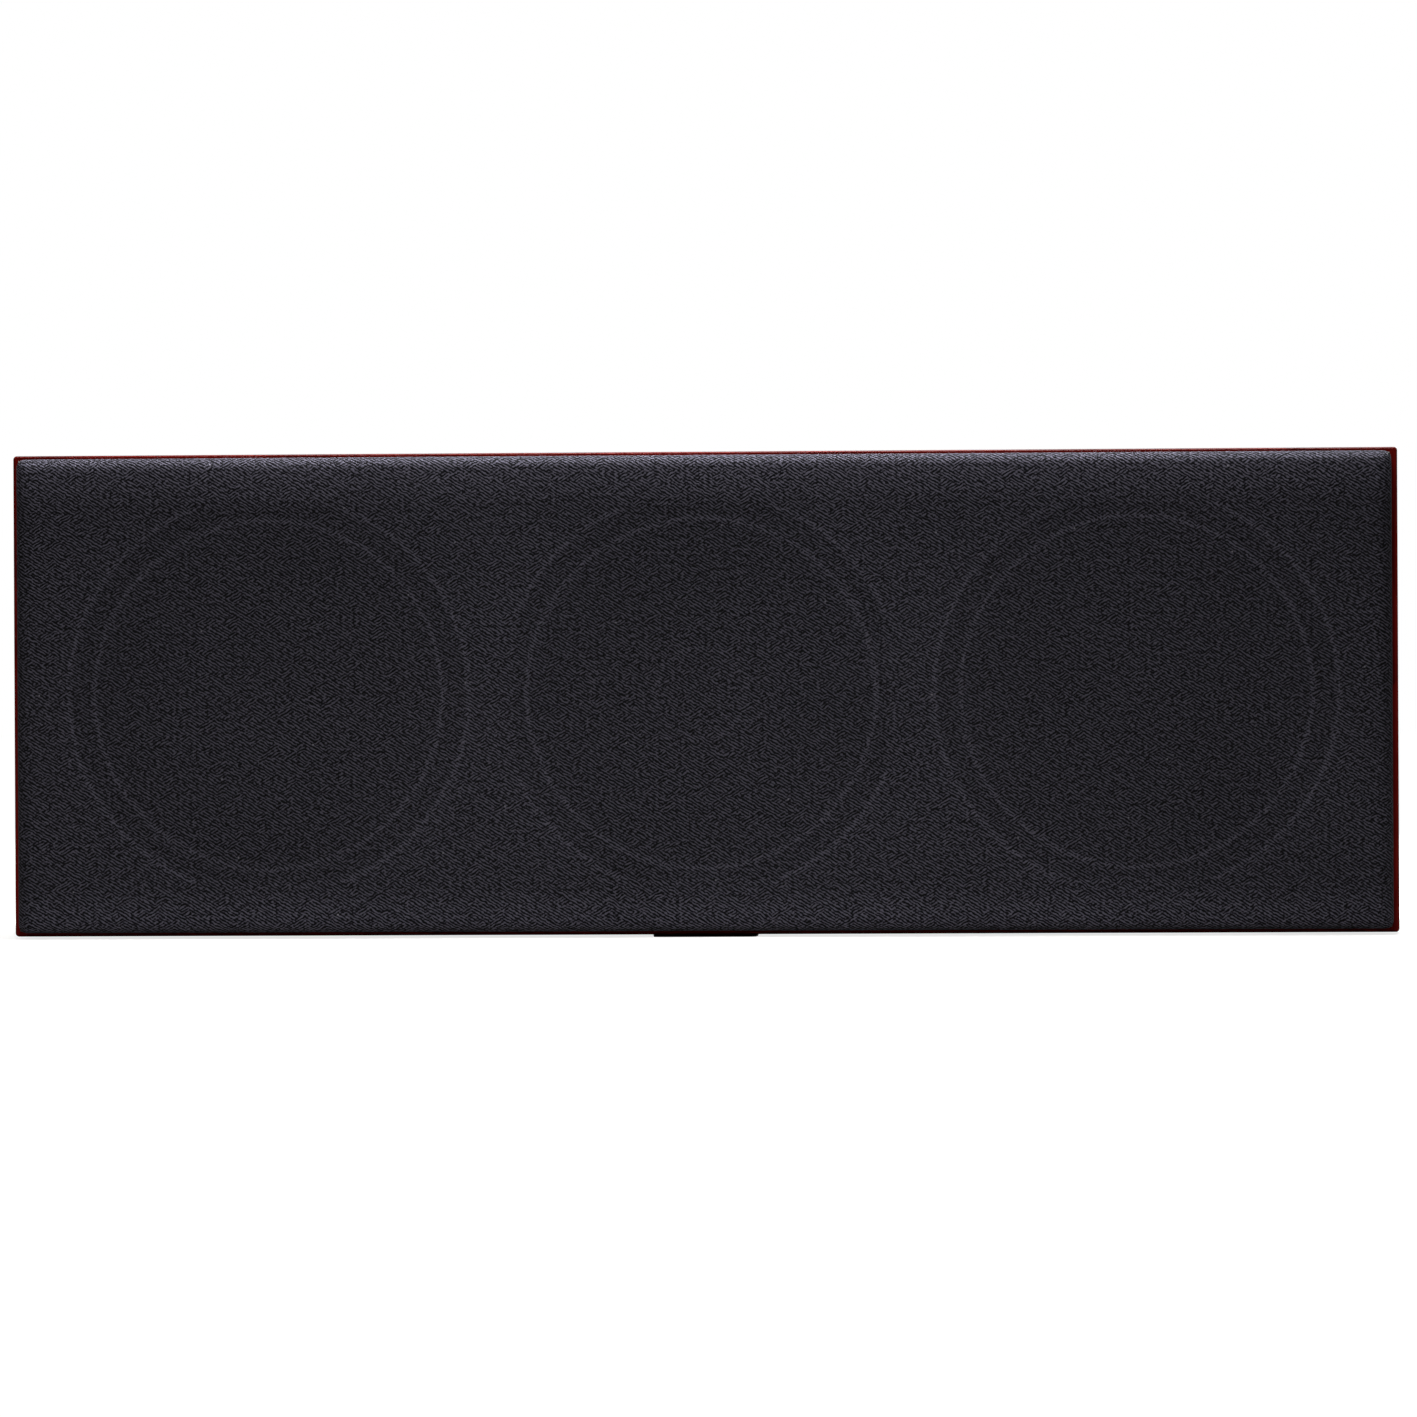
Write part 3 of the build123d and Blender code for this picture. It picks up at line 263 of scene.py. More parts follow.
    # Painted light and shade: the cloth is painted lighter towards its upper edge, where the overhead light
    # falls, and towards its lower edge, lit from the floor, and darker towards the ends, which get little light:
    # how far in each begins, and how much it changes the shade
    top_painted_light, foot_painted_light, end_painted_shade = (22.0 * MM, 1.1), (20.0 * MM, 0.7), (6.5 * MM, -0.35)
    half_x, half_z = CLOTH_HIGH.x, (CLOTH_HIGH.z - CLOTH_LOW.z) / 2
    depth = add(tree, "Math", {0: AXIS_Z, 1: spread["Z"]}, operation="SUBTRACT")
    turns = ((height, half_z, top_painted_light), (depth, half_z, foot_painted_light), (aside, half_x, end_painted_shade))
    for value, half, (reach, change) in turns:
        edge_painted_light_and_shade = add(tree, "MapRange", {"Value": value, "From Min": half - reach, "From Max": half,
                                             "To Min": 1.0, "To Max": 1.0 + change})
        shade = add(tree, "Math", {0: shade, 1: edge_painted_light_and_shade}, operation="MULTIPLY")
    drift = add(tree, "MapRange", {"Value": broad, "From Min": NOISE_LOW, "From Max": NOISE_HIGH,
                                   "To Min": 0.93, "To Max": 1.07})
    shade = add(tree, "Math", {0: shade, 1: drift}, operation="MULTIPLY")
    lint = add(tree, "TexVoronoi", {"Vector": flat, "Scale": per(lint_spacing)}, out="Distance",
               voronoi_dimensions="2D")
    lint = inside(lint, lint_size / lint_spacing, 0.4 * lint_size / lint_spacing)
    tone = add(tree, "Mix", {0: rise, 6: colour("#050507"), 7: colour("#42404a")}, out=2, data_type="RGBA")
    tone = add(tree, "Mix", {0: lint, 6: tone, 7: colour("#5b5960")}, out=2, data_type="RGBA")
    tone = add(tree, "Mix", {0: 1.0, 6: tone, 7: shade}, out=2, data_type="RGBA", blend_type="MULTIPLY")
    normal = add(tree, "Bump", {"Height": rise, "Strength": 0.6, "Distance": 0.3 * MM})
    close(tree, Base_Color=tone, Roughness=0.95, Specular_IOR_Level=0.15, Sheen_Weight=0.03,
          Sheen_Roughness=0.4, Normal=normal)
    return made


def cherry_veneer():
    """Dark cherry veneer under stain and satin lacquer: long red-brown streaks, fine dark pores, soft gloss.

    The grain runs round the cabinet, along the top and down the ends, and meets on a mitre at the corners.
    """
    # Length along the grain and width across it, in mm
    figure_size, streak_size, pore_size, mottle_size = (520, 46), (190, 1.6), (9, 0.32), (90, 45)
    growth_lines, growth_dim, pore_dim, rim_painted_light_share = 22.0, -0.26, 0.6, 0.8
    made, tree, place = start("cherry_veneer_satin_lacquer")
    axes = add(tree, "SeparateXYZ", {0: place}).node.outputs
    half_width, half_height = SLEEVE_HIGH.x, (SLEEVE_HIGH.z - SLEEVE_LOW.z) / 2
    height = add(tree, "Math", {0: axes["Z"], 1: AXIS_Z}, operation="SUBTRACT")
    far_x = add(tree, "Math", {0: axes["X"]}, operation="ABSOLUTE")
    far_z = add(tree, "Math", {0: height}, operation="ABSOLUTE")
    to_end = add(tree, "Math", {0: half_width, 1: far_x}, operation="SUBTRACT")
    to_top = add(tree, "Math", {0: half_height, 1: far_z}, operation="SUBTRACT")
    lengthwise = add(tree, "Math", {0: to_top, 1: to_end}, operation="LESS_THAN")
    along = add(tree, "Mix", {0: lengthwise, 2: height, 3: axes["X"]})
    across = add(tree, "Mix", {0: lengthwise, 2: axes["X"], 3: height})

    def stretched(length, width):
        """Coordinates that repeat once in this length along the grain and this width across it."""
        vector = add(tree, "CombineXYZ", {"X": along, "Y": axes["Y"], "Z": across})
        scale = (per(length), per(width), per(width))
        return add(tree, "VectorMath", {0: vector, 1: scale}, operation="MULTIPLY")

    figure = add(tree, "TexNoise", {"Vector": stretched(*figure_size), "Scale": 1.0, "Detail": 2.0,
                                    "Distortion": 0.6}, out="Fac")
    growth = add(tree, "Math", {0: figure, 1: growth_lines}, operation="MULTIPLY")
    growth = add(tree, "Math", {0: growth}, operation="FRACT")
    growth = add(tree, "Math", {0: growth, 1: 2.0}, operation="POWER")
    streak = add(tree, "TexNoise", {"Vector": stretched(*streak_size), "Scale": 1.0, "Detail": 5.0,
                                    "Roughness": 0.6}, out="Fac")
    pore = add(tree, "TexNoise", {"Vector": stretched(*pore_size), "Scale": 1.0, "Detail": 2.0}, out="Fac")
    pore = add(tree, "MapRange", {"Value": pore, "From Min": 0.60, "From Max": 0.70})
    grain = add(tree, "Math", {0: growth, 1: growth_dim, 2: streak}, operation="MULTIPLY_ADD")
    grain = add(tree, "MapRange", {"Value": grain, "From Min": 0.08, "From Max": 0.66})
    tone = add(tree, "Mix", {0: grain, 6: colour("#250403"), 7: colour("#4b110a")}, out=2, data_type="RGBA")
    mottle = add(tree, "TexNoise", {"Vector": stretched(*mottle_size), "Scale": 1.0, "Detail": 2.0}, out="Fac")
    mottle = add(tree, "MapRange", {"Value": mottle, "From Min": 0.35, "From Max": 0.7, "To Max": 0.35})
    tone = add(tree, "Mix", {0: mottle, 6: tone, 7: colour("#2c0c08")}, out=2, data_type="RGBA")
    dark = add(tree, "Math", {0: pore, 1: pore_dim}, operation="MULTIPLY")
    tone = add(tree, "Mix", {0: dark, 6: tone, 7: colour("#160403")}, out=2, data_type="RGBA")
    # Painted light: the band round the front rim is painted brighter and redder than the faces, where the rim
    # catches the lamps
    rim_painted_light = add(tree, "MapRange", {"Value": axes["Y"], "From Min": FRONT_Y + FRONT_RIM_LIGHT_BAND,
                                   "From Max": FRONT_Y, "To Max": rim_painted_light_share})
    rim_painted_light_tone = add(tree, "Mix", {0: grain, 6: colour("#480806"), 7: colour("#7c140d")}, out=2, data_type="RGBA")
    tone = add(tree, "Mix", {0: rim_painted_light, 6: tone, 7: rim_painted_light_tone}, out=2, data_type="RGBA")
    gloss = add(tree, "MapRange", {"Value": streak, "To Min": 0.30, "To Max": 0.44})
    sunk = add(tree, "Math", {0: pore, 1: -1.0, 2: streak}, operation="MULTIPLY_ADD")
    normal = add(tree, "Bump", {"Height": sunk, "Strength": 0.18, "Distance": 0.08 * MM})
    close(tree, Base_Color=tone, Roughness=gloss, Specular_IOR_Level=0.03, Normal=normal)
    return made


def embossed_vinyl():
    """Black vinyl wrapped on board and embossed like leather: small closed cells with worn soft tops."""
    cell_size, crease_size = 1.5, 14
    made, tree, place = start("black_vinyl_embossed")
    cells = add(tree, "TexVoronoi", {"Vector": place, "Scale": per(cell_size)}, out="Distance",
                feature="DISTANCE_TO_EDGE")
    crown = add(tree, "MapRange", {"Value": cells, "From Max": 0.22}, interpolation_type="SMOOTHSTEP")
    crease = add(tree, "TexNoise", {"Vector": place, "Scale": per(crease_size), "Detail": 4.0}, out="Fac")
    tone = add(tree, "Mix", {0: crown, 6: colour("#09090a"), 7: colour("#18181a")}, out=2, data_type="RGBA")
    drift = add(tree, "MapRange", {"Value": crease, "From Min": NOISE_LOW, "From Max": NOISE_HIGH,
                                   "To Min": 0.82, "To Max": 1.15})
    tone = add(tree, "Mix", {0: 1.0, 6: tone, 7: drift}, out=2, data_type="RGBA", blend_type="MULTIPLY")
    gloss = add(tree, "MapRange", {"Value": crown, "To Min": 0.66, "To Max": 0.46})
    normal = add(tree, "Bump", {"Height": crown, "Strength": 0.45, "Distance": 0.2 * MM})
    close(tree, Base_Color=tone, Roughness=gloss, IOR=1.5, Normal=normal)
    return made


def grained(name, low, high, grain, depth, rough, rough_span=0.12, **fixed):
    """A moulded, cast or sprayed skin: grain of that size in mm and depth in mm, and a slow change of tone."""
    made, tree, place = start(name)
    grit = add(tree, "TexNoise", {"Vector": place, "Scale": per(grain), "Detail": 3.0}, out="Fac")
    cloud = add(tree, "TexNoise", {"Vector": place, "Scale": per(grain * 40), "Detail": 3.0}, out="Fac")
    blend = add(tree, "Math", {0: grit, 1: cloud}, operation="MULTIPLY")
    share = add(tree, "MapRange", {"Value": blend, "From Min": PRODUCT_LOW, "From Max": PRODUCT_HIGH})
    tone = add(tree, "Mix", {0: share, 6: colour(low), 7: colour(high)}, out=2, data_type="RGBA")
    gloss = add(tree, "MapRange", {"Value": grit, "From Min": NOISE_LOW, "From Max": NOISE_HIGH,
                                   "To Min": rough - rough_span / 2, "To Max": rough + rough_span / 2})
    normal = add(tree, "Bump", {"Height": grit, "Strength": 0.5, "Distance": depth * MM})
    close(tree, Base_Color=tone, Roughness=gloss, Normal=normal, **fixed)
    return made


def turned(name, low, high, pitch, rough, centers, **fixed):
    """A lathe-turned or pressed round piece: fine rings about the axis of each center, along Y."""
    made, tree, place = start(name)
    axes = add(tree, "SeparateXYZ", {0: place}).node.outputs
    height = add(tree, "Math", {0: axes["Z"], 1: AXIS_Z}, operation="SUBTRACT")
    radius = None
    for x in centers:
        offset = add(tree, "Math", {0: axes["X"], 1: x}, operation="SUBTRACT")
        pair = add(tree, "CombineXYZ", {"X": offset, "Y": height})
        length = add(tree, "VectorMath", {0: pair}, out="Value", operation="LENGTH")
        radius = length if radius is None else add(tree, "Math", {0: radius, 1: length}, operation="MINIMUM")
    around = add(tree, "CombineXYZ", {"X": radius, "Y": axes["Y"]})
    rings = add(tree, "TexNoise", {"Vector": around, "Scale": per(pitch), "Detail": 2.0}, out="Fac")
    fleck = add(tree, "TexNoise", {"Vector": place, "Scale": per(pitch * 3), "Detail": 4.0}, out="Fac")
    share = add(tree, "Math", {0: rings, 1: fleck}, operation="MULTIPLY")
    share = add(tree, "MapRange", {"Value": share, "From Min": PRODUCT_LOW, "From Max": PRODUCT_HIGH})
    tone = add(tree, "Mix", {0: share, 6: colour(low), 7: colour(high)}, out=2, data_type="RGBA")
    gloss = add(tree, "MapRange", {"Value": rings, "From Min": NOISE_LOW, "From Max": NOISE_HIGH,
                                   "To Min": rough - 0.08, "To Max": rough + 0.08})
    normal = add(tree, "Bump", {"Height": rings, "Strength": 0.3, "Distance": 0.05 * MM})
    close(tree, Base_Color=tone, Roughness=gloss, Normal=normal, **fixed)
    return made


def woven(name, low, high, thread, rough, **fixed):
    """A plain weave seen from the front: square crossings of the thread spacing in mm."""
    made, tree, place = start(name)
    axes = add(tree, "SeparateXYZ", {0: place}).node.outputs
    threads = []
    for axis in ("X", "Z"):
        turn = add(tree, "Math", {0: axes[axis], 1: math.pi * per(thread)}, operation="MULTIPLY")
        threads.append(add(tree, "Math", {0: turn}, operation="SINE"))
    weave = add(tree, "Math", {0: threads[0], 1: threads[1]}, operation="MULTIPLY")
    share = add(tree, "MapRange", {"Value": weave, "From Min": -1.0, "From Max": 1.0})
    cloud = add(tree, "TexNoise", {"Vector": place, "Scale": per(6), "Detail": 3.0}, out="Fac")
    gloss = add(tree, "MapRange", {"Value": cloud, "To Min": rough - 0.1, "To Max": rough + 0.1})
    tone = add(tree, "Mix", {0: share, 6: colour(low), 7: colour(high)}, out=2, data_type="RGBA")
    normal = add(tree, "Bump", {"Height": share, "Strength": 0.4, "Distance": 0.1 * MM})
    close(tree, Base_Color=tone, Roughness=gloss, Normal=normal, **fixed)
    return made


driver_xs = list(DRIVER_X.values())
post_xs = [-POST_X * MM, POST_X * MM]
KNIT = warp_knit()
VENEER = cherry_veneer()
VINYL = embossed_vinyl()
# Sprayed black over fibreboard: dull, faintly pebbled
BLACK_BOARD = grained("fibreboard_black_sprayed", "#0d0d0e", "#1b1b1d", grain=0.5, depth=0.06, rough=0.62)
# Sawn fibreboard, unpainted: pale brown, furry to the eye
RAW_BOARD = grained("fibreboard_sawn", "#7a5c3c", "#a58661", grain=0.4, depth=0.12, rough=0.85)
# Moulded ABS with a spark-eroded skin: even fine grain, low sheen
ABS = grained("black_abs_spark_eroded", "#0c0c0d", "#18181a", grain=0.45, depth=0.05, rough=0.48)
# Moulded ABS with a finer satin skin: smoother, with a clearer highlight
SATIN_ABS = grained("black_abs_satin", "#0e0e10", "#1a1a1d", grain=0.25, depth=0.02, rough=0.34)
# Butyl rubber, pressed: soft dark grey sheen
RUBBER = grained("butyl_rubber_pressed", "#101011", "#1c1c1d",
                 grain=0.6, depth=0.03, rough=0.52, Specular_IOR_Level=0.4)
# Rubber foot: duller, a little dusty
FOOT_RUBBER = grained("rubber_foot_moulded", "#0f0f0f", "#232322", grain=0.5, depth=0.08, rough=0.8)
# Closed-cell foam gasket: open pored and dull
FOAM = grained("foam_gasket_cut", "#111112", "#262627", grain=0.7, depth=0.25, rough=0.95)
# Polyester wadding: off-white, tangled
WADDING = grained("polyester_wadding", "#b9b6ad", "#e6e3db",
                  grain=2.5, depth=1.2, rough=1.0, Sheen_Weight=0.3)
# Die-cast alloy under black powder paint: even, faintly pebbled, half dull
CAST = grained("cast_alloy_powder_painted", "#101012", "#222225", grain=0.6, depth=0.08, rough=0.5)
# Sintered ferrite: charcoal, dull, slightly speckled
FERRITE = grained("ferrite_sintered", "#1b1b1c", "#333334", grain=0.8, depth=0.05, rough=0.7)
# Zinc-plated steel, pressed: pale grey with faint rings
STEEL = turned("steel_zinc_plated", "#8d9093", "#b9bcbf",
               pitch=0.6, rough=0.36, centers=driver_xs, Metallic=1.0)
# Black oxide steel screws: near black with small hard highlights
SCREW_STEEL = grained("steel_black_oxide", "#18181a", "#303033",
                      grain=0.3, depth=0.02, rough=0.34, Metallic=0.9)
# Gold-plated brass, turned: warm and bright with fine rings
GILT = turned("brass_gold_plated_turned", "#b8892f", "#e6bf63",
              pitch=0.35, rough=0.2, centers=post_xs, Metallic=1.0)
# Pad-printed ink on the plate: pale and matt
PALE_INK = grained("pale_ink_pad_printed", "#a4a4a1", "#c4c4c0", grain=0.4, depth=0.01, rough=0.6)
# Binding post caps: dyed moulded plastic with a clean sheen
RED_CAP = grained("red_polycarbonate_moulded", "#6d0a0b", "#a31314", grain=0.5, depth=0.02, rough=0.28)
BLACK_CAP = grained("black_polycarbonate_moulded", "#09090a", "#171718", grain=0.5, depth=0.02, rough=0.28)
# Coated paper pulp cone: dull black with a felted grain
PAPER = turned("paper_pulp_cone_coated", "#252527", "#3f3f42",
               pitch=0.9, rough=0.72, centers=driver_xs, Sheen_Weight=0.1)
# Pressed paper dust cap: the same pulp, lacquered once more
DUST_CAP = turned("paper_dust_cap_lacquered", "#1c1c1e", "#333336",
                  pitch=0.6, rough=0.42, centers=driver_xs)
# Coated silk dome: fine weave under a soft dark skin
SILK = woven("silk_dome_coated", "#141417", "#2a2a30", thread=0.5, rough=0.5, Sheen_Weight=0.15)
# Phenolic-dipped cotton spider: golden brown weave
SPIDER = woven("cotton_spider_resin_dipped", "#6b4a1c", "#96702f", thread=0.7, rough=0.75)
# Enamelled copper wire, wound: warm brown with glints turn by turn
COPPER = turned("copper_wire_enamelled", "#7c3b1c", "#b8683a",
                pitch=0.8, rough=0.3, centers=driver_xs, Metallic=1.0)
# Circuit laminate: translucent green-brown with a lacquered sheen
LAMINATE = grained("glass_laminate_lacquered", "#1d3a22", "#2f5535", grain=0.9, depth=0.02, rough=0.35)
# Wrapped polyester film on the capacitors: orange-brown and shiny
FILM = grained("polyester_film_wrapped", "#8a2b12", "#b04420", grain=1.0, depth=0.01, rough=0.25)
# Cast ceramic cement round the resistors: chalky and pale
CERAMIC = grained("ceramic_cement_cast", "#c9c5ba", "#e4e1d8", grain=0.5, depth=0.06, rough=0.85)
# Extruded vinyl on the leads: dark red with a soft sheen
JACKET = grained("pvc_wire_jacket", "#2a0b0b", "#4a1414", grain=0.8, depth=0.02, rough=0.4)


def mesh_piece(name, points, faces, material, smooth=True):
    """A mesh object from points in metres and faces."""
    mesh = bpy.data.meshes.new(name)
    mesh.from_pydata([tuple(p) for p in points], [], faces)
    mesh.validate()
    mesh.polygons.foreach_set("use_smooth", [smooth] * len(mesh.polygons))
    mesh.materials.append(material)
    made = bpy.data.objects.new(name, mesh)
    bpy.context.scene.collection.objects.link(made)
    return made


def edge_lines(half, edge, steps, spacing):
    """Positions across the cloth's front: close together over each rounded edge, even between."""
    inner = half - edge
    bend = [inner + edge * math.sin(math.pi / 2 * i / steps) for i in range(1, steps + 1)]
    count = round(2 * inner / spacing)
    middle = [-inner + 2 * inner * i / count for i in range(count + 1)]
    return [-b for b in reversed(bend)] + middle + bend


def opening_share(x, z):
    """1 over an opening of the grille frame, 0 over its board, with a soft change between."""
    best = 0.0
    for name, center in DRIVER_X.items():
        inset = min(OPENING_RADIUS - math.hypot(x - center, z), OPENING_FLAT - abs(z))
        if name == "middle":
            inset = min(inset, MIDDLE_FLAT - abs(x))
        best = max(best, min(1.0, max(0.0, inset / DIP_RUN + 0.5)))
    return best * best * (3 - 2 * best)


def grille_cloth():
    """The cloth: front stretched over the frame, rounded edges, sides and a hem folded behind the frame."""
    half_x, half_z = CLOTH_HIGH.x, (CLOTH_HIGH.z - CLOTH_LOW.z) / 2
    inner_x, inner_z = half_x - CLOTH_EDGE, half_z - CLOTH_EDGE
    xs = edge_lines(half_x, CLOTH_EDGE, CLOTH_EDGE_STEPS, CLOTH_GRID)
    zs = edge_lines(half_z, CLOTH_EDGE, CLOTH_EDGE_STEPS, CLOTH_GRID)
    points, flats = [], []

    def unrolled(value, inner):
        """Length along the cloth from the middle, over the rounded edge."""
        past = min(1.0, max(0.0, (abs(value) - inner) / CLOTH_EDGE))
        return math.copysign(min(abs(value), inner) + CLOTH_EDGE * math.asin(past), value)

    for z in zs:
        for x in xs:
            a, b = max(0.0, abs(x) - inner_x) / CLOTH_EDGE, max(0.0, abs(z) - inner_z) / CLOTH_EDGE
            reach = max(a, b)
            at_x, at_z = x, z
            if a > 0 and b > 0:
                turn = math.pi / 4 * (b / a) if a >= b else math.pi / 2 - math.pi / 4 * (a / b)
                cx, cz = math.cos(turn), math.sin(turn)
                size = (cx**CLOTH_CORNER_POWER + cz**CLOTH_CORNER_POWER) ** (1 / CLOTH_CORNER_POWER)
                at_x = math.copysign(inner_x + CLOTH_EDGE * reach * cx / size, x)
                at_z = math.copysign(inner_z + CLOTH_EDGE * reach * cz / size, z)
            back = CLOTH_EDGE * (1 - math.sqrt(max(0.0, 1 - reach * reach)))
            back += CLOTH_DIP * opening_share(at_x, at_z)
            points.append((at_x, CLOTH_LOW.y + back, AXIS_Z + at_z))
            flats.append((unrolled(x, inner_x), unrolled(z, inner_z), 0.0))
    wide, tall = len(xs), len(zs)
    faces = [
        (j * wide + i, j * wide + i + 1, (j + 1) * wide + i + 1, (j + 1) * wide + i)
        for j in range(tall - 1)
        for i in range(wide - 1)
    ]
    rim = (
        list(range(wide))
        + [j * wide + wide - 1 for j in range(1, tall)]
        + [(tall - 1) * wide + i for i in range(wide - 2, -1, -1)]
        + [j * wide for j in range(tall - 2, 0, -1)]
    )
    depth = CLOTH_HIGH.y - CLOTH_LOW.y
    fold, fold_turns = HEM_FOLD, (0.4, 0.8, 1.2, math.pi / 2)
    side_steps, hem_steps = 4, 3
    # Each step: distance back from the front, and how far in from the outline
    steps = [(CLOTH_EDGE + (depth - fold - CLOTH_EDGE) * i / side_steps, 0.0) for i in range(1, side_steps + 1)]
    steps += [(depth - fold * (1 - math.sin(t)), fold * (1 - math.cos(t))) for t in fold_turns]
    steps += [(depth, fold + (HEM - fold) * i / hem_steps) for i in range(1, hem_steps + 1)]
    near = 1.5 * CLOTH_EDGE
    previous = rim
    for back, inset in steps:
        first = len(points)
        for k in rim:
            x, _, z = points[k]
            z -= AXIS_Z
            u, v, _ = flats[k]
            run = back - CLOTH_EDGE + inset
            at_x = math.copysign(max(0.0, abs(x) - inset), x) if abs(x) > half_x - near else x
            at_z = math.copysign(max(0.0, abs(z) - inset), z) if abs(z) > half_z - near else z
            at_x = math.copysign(min(abs(at_x), half_x - inset), at_x)
            at_z = math.copysign(min(abs(at_z), half_z - inset), at_z)
            points.append((at_x, CLOTH_LOW.y + back, AXIS_Z + at_z))
            if half_x - abs(x) < half_z - abs(z):
                u += math.copysign(run, u)
            else:
                v += math.copysign(run, v)
            flats.append((u, v, 0.0))
        ring = list(range(first, first + len(rim)))
        faces += [(previous[i - 1], ring[i - 1], ring[i], previous[i]) for i in range(len(rim))]
        previous = ring
    cloth = mesh_piece("grille_knit_cloth", points, faces, KNIT)
    layer = cloth.data.attributes.new("cloth_flat", "FLOAT_VECTOR", "POINT")
    layer.data.foreach_set("vector", np.array(flats, np.float32).ravel())
    bm = bmesh.new()
    bm.from_mesh(cloth.data)
    bmesh.ops.recalc_face_normals(bm, faces=bm.faces)
    front = max(bm.faces, key=lambda f: f.calc_area())
    if front.normal.y > 0:
        bmesh.ops.reverse_faces(bm, faces=bm.faces)
    bm.to_mesh(cloth.data)
    bm.free()
    skin = cloth.modifiers.new("skin", "SOLIDIFY")
    skin.thickness, skin.offset = CLOTH_SKIN, -1.0
    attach(cloth, "grille")
    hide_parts("grille_cloth")


def lathe(name, x, outline, material):
    """A closed (radius, height) outline in mm turned about a driver's axis; height is forward of the baffle."""
    points, faces = [], []
    count = len(outline)
    for i in range(TURN_STEPS):
        turn = 2 * math.pi * i / TURN_STEPS
        for radius, height in outline:
            aside, rise = radius * MM * math.cos(turn), radius * MM * math.sin(turn)
            points.append((x + aside, FRONT_Y - height * MM, AXIS_Z + rise))
    for i in range(TURN_STEPS):
        a, b = i * count, (i + 1) % TURN_STEPS * count
        faces += [(a + j, b + j, b + (j + 1) % count, a + (j + 1) % count) for j in range(count)]
    return mesh_piece(name, points, faces, material)


def follow_cone(piece):
    """Bakes the piece's placement into its mesh."""
    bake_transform(piece)


def surround_outline():
    """Half roll with flat lips: over the outside, back along the inside."""
    outer, inner = ROLL_RADIUS + ROLL_THICKNESS / 2, ROLL_RADIUS - ROLL_THICKNESS / 2
    lift = math.asin(ROLL_THICKNESS / outer)
    over_steps, under_steps = 24, 20
    over = [math.pi - lift - (math.pi - 2 * lift) * i / over_steps for i in range(over_steps + 1)]
    under = [math.pi * i / under_steps for i in range(under_steps + 1)]
    top = [(ROLL_CENTER + outer * math.cos(t), outer * math.sin(t)) for t in over]
    base = [(ROLL_CENTER + inner * math.cos(t), inner * math.sin(t)) for t in under]
    inner_lip = [(LIP_INNER, 0.0), (LIP_INNER, ROLL_THICKNESS)]
    outer_lip = [(LIP_OUTER, ROLL_THICKNESS), (LIP_OUTER, 0.0)]
    return inner_lip + top + outer_lip + base


def spider_outline():
    """Rolled corrugations with a flat outer rim."""
    steps_per_wave = 12
    steps = steps_per_wave * SPIDER_WAVES
    radii = [SPIDER_INNER + (SPIDER_WAVES_END - SPIDER_INNER) * i / steps for i in range(steps + 1)]
    heights = [SPIDER_HEIGHT + SPIDER_WAVE / 2 * (1 - math.cos(2 * math.pi * SPIDER_WAVES * i / steps))
               for i in range(steps + 1)]
    under = list(zip(radii, heights)) + [(SPIDER_OUTER, SPIDER_HEIGHT)]
    return under + [(radius, height + SPIDER_THICKNESS) for radius, height in reversed(under)]


def soft_rings():
    """Surround and spider of each driver, turned about its axis; on the speaker these bend with the cone's
    travel, here they stay fixed.
    """
    for name, x in DRIVER_X.items():
        roll = lathe(f"{name}_surround_roll", x, surround_outline(), RUBBER)
        follow_cone(roll)
        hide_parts(f"{name}_surround")
        disc = lathe(f"{name}_spider_disc", x, spider_outline(), SPIDER)
        follow_cone(disc)
        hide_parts(f"{name}_spider")


def screw_mesh():
    """A pan-head screw with a cross recess, head up along Z with its seat at z = 0, in mm."""
    bm = bmesh.new()
    # From the blunt point up the shank, out under the head and over its rounded shoulder
    point = [(0.15, -SHANK_LENGTH), (SHANK_RADIUS * 0.75, 4 - SHANK_LENGTH),
             (SHANK_RADIUS * 0.85, 6 - SHANK_LENGTH)]
    shank = [(SHANK_RADIUS, -1.0), (SHANK_RADIUS, 0.0)]
    head = [(HEAD_RADIUS, 0.0), (HEAD_RADIUS, HEAD_HEIGHT * 0.42), (HEAD_RADIUS * 0.96, HEAD_HEIGHT * 0.68),
            (HEAD_RADIUS * 0.86, HEAD_HEIGHT * 0.88), (HEAD_RADIUS * 0.70, HEAD_HEIGHT)]
    turns = [2 * math.pi * i / SCREW_SIDES for i in range(SCREW_SIDES)]
    loops = [[bm.verts.new((r * math.cos(t), r * math.sin(t), h)) for t in turns]
             for r, h in point + shank + head]
    for low, high in zip(loops, loops[1:]):
        for i in range(SCREW_SIDES):
            bm.faces.new((low[i - 1], low[i], high[i], high[i - 1]))
    bm.faces.new(reversed(loops[0]))

    def cross(reach, width, height):
        """Corners of a cross at one height."""
        corner = [(reach, -width), (reach, width), (width, width)]
        spots = []
        for quarter in range(4):
            turn = Matrix.Rotation(math.pi / 2 * quarter, 3, "Z")
            spots += [turn @ Vector((x, y, height)) for x, y in corner]
        return [bm.verts.new(s) for s in spots]

    rim = cross(RECESS_REACH, RECESS_WIDTH, HEAD_HEIGHT)
    floor = cross(RECESS_REACH * 0.55, RECESS_WIDTH * 0.7, HEAD_HEIGHT - RECESS_DEPTH)
    for i in range(len(rim)):
        bm.faces.new((rim[i - 1], rim[i], floor[i], floor[i - 1]))
    bm.faces.new(floor)
    edges = [bm.edges.get((loops[-1][i - 1], loops[-1][i])) for i in range(SCREW_SIDES)]
    edges += [bm.edges.get((rim[i - 1], rim[i])) for i in range(len(rim))]
    bmesh.ops.triangle_fill(bm, edges=edges, use_beauty=True)
    bmesh.ops.recalc_face_normals(bm, faces=bm.faces)
    return bm


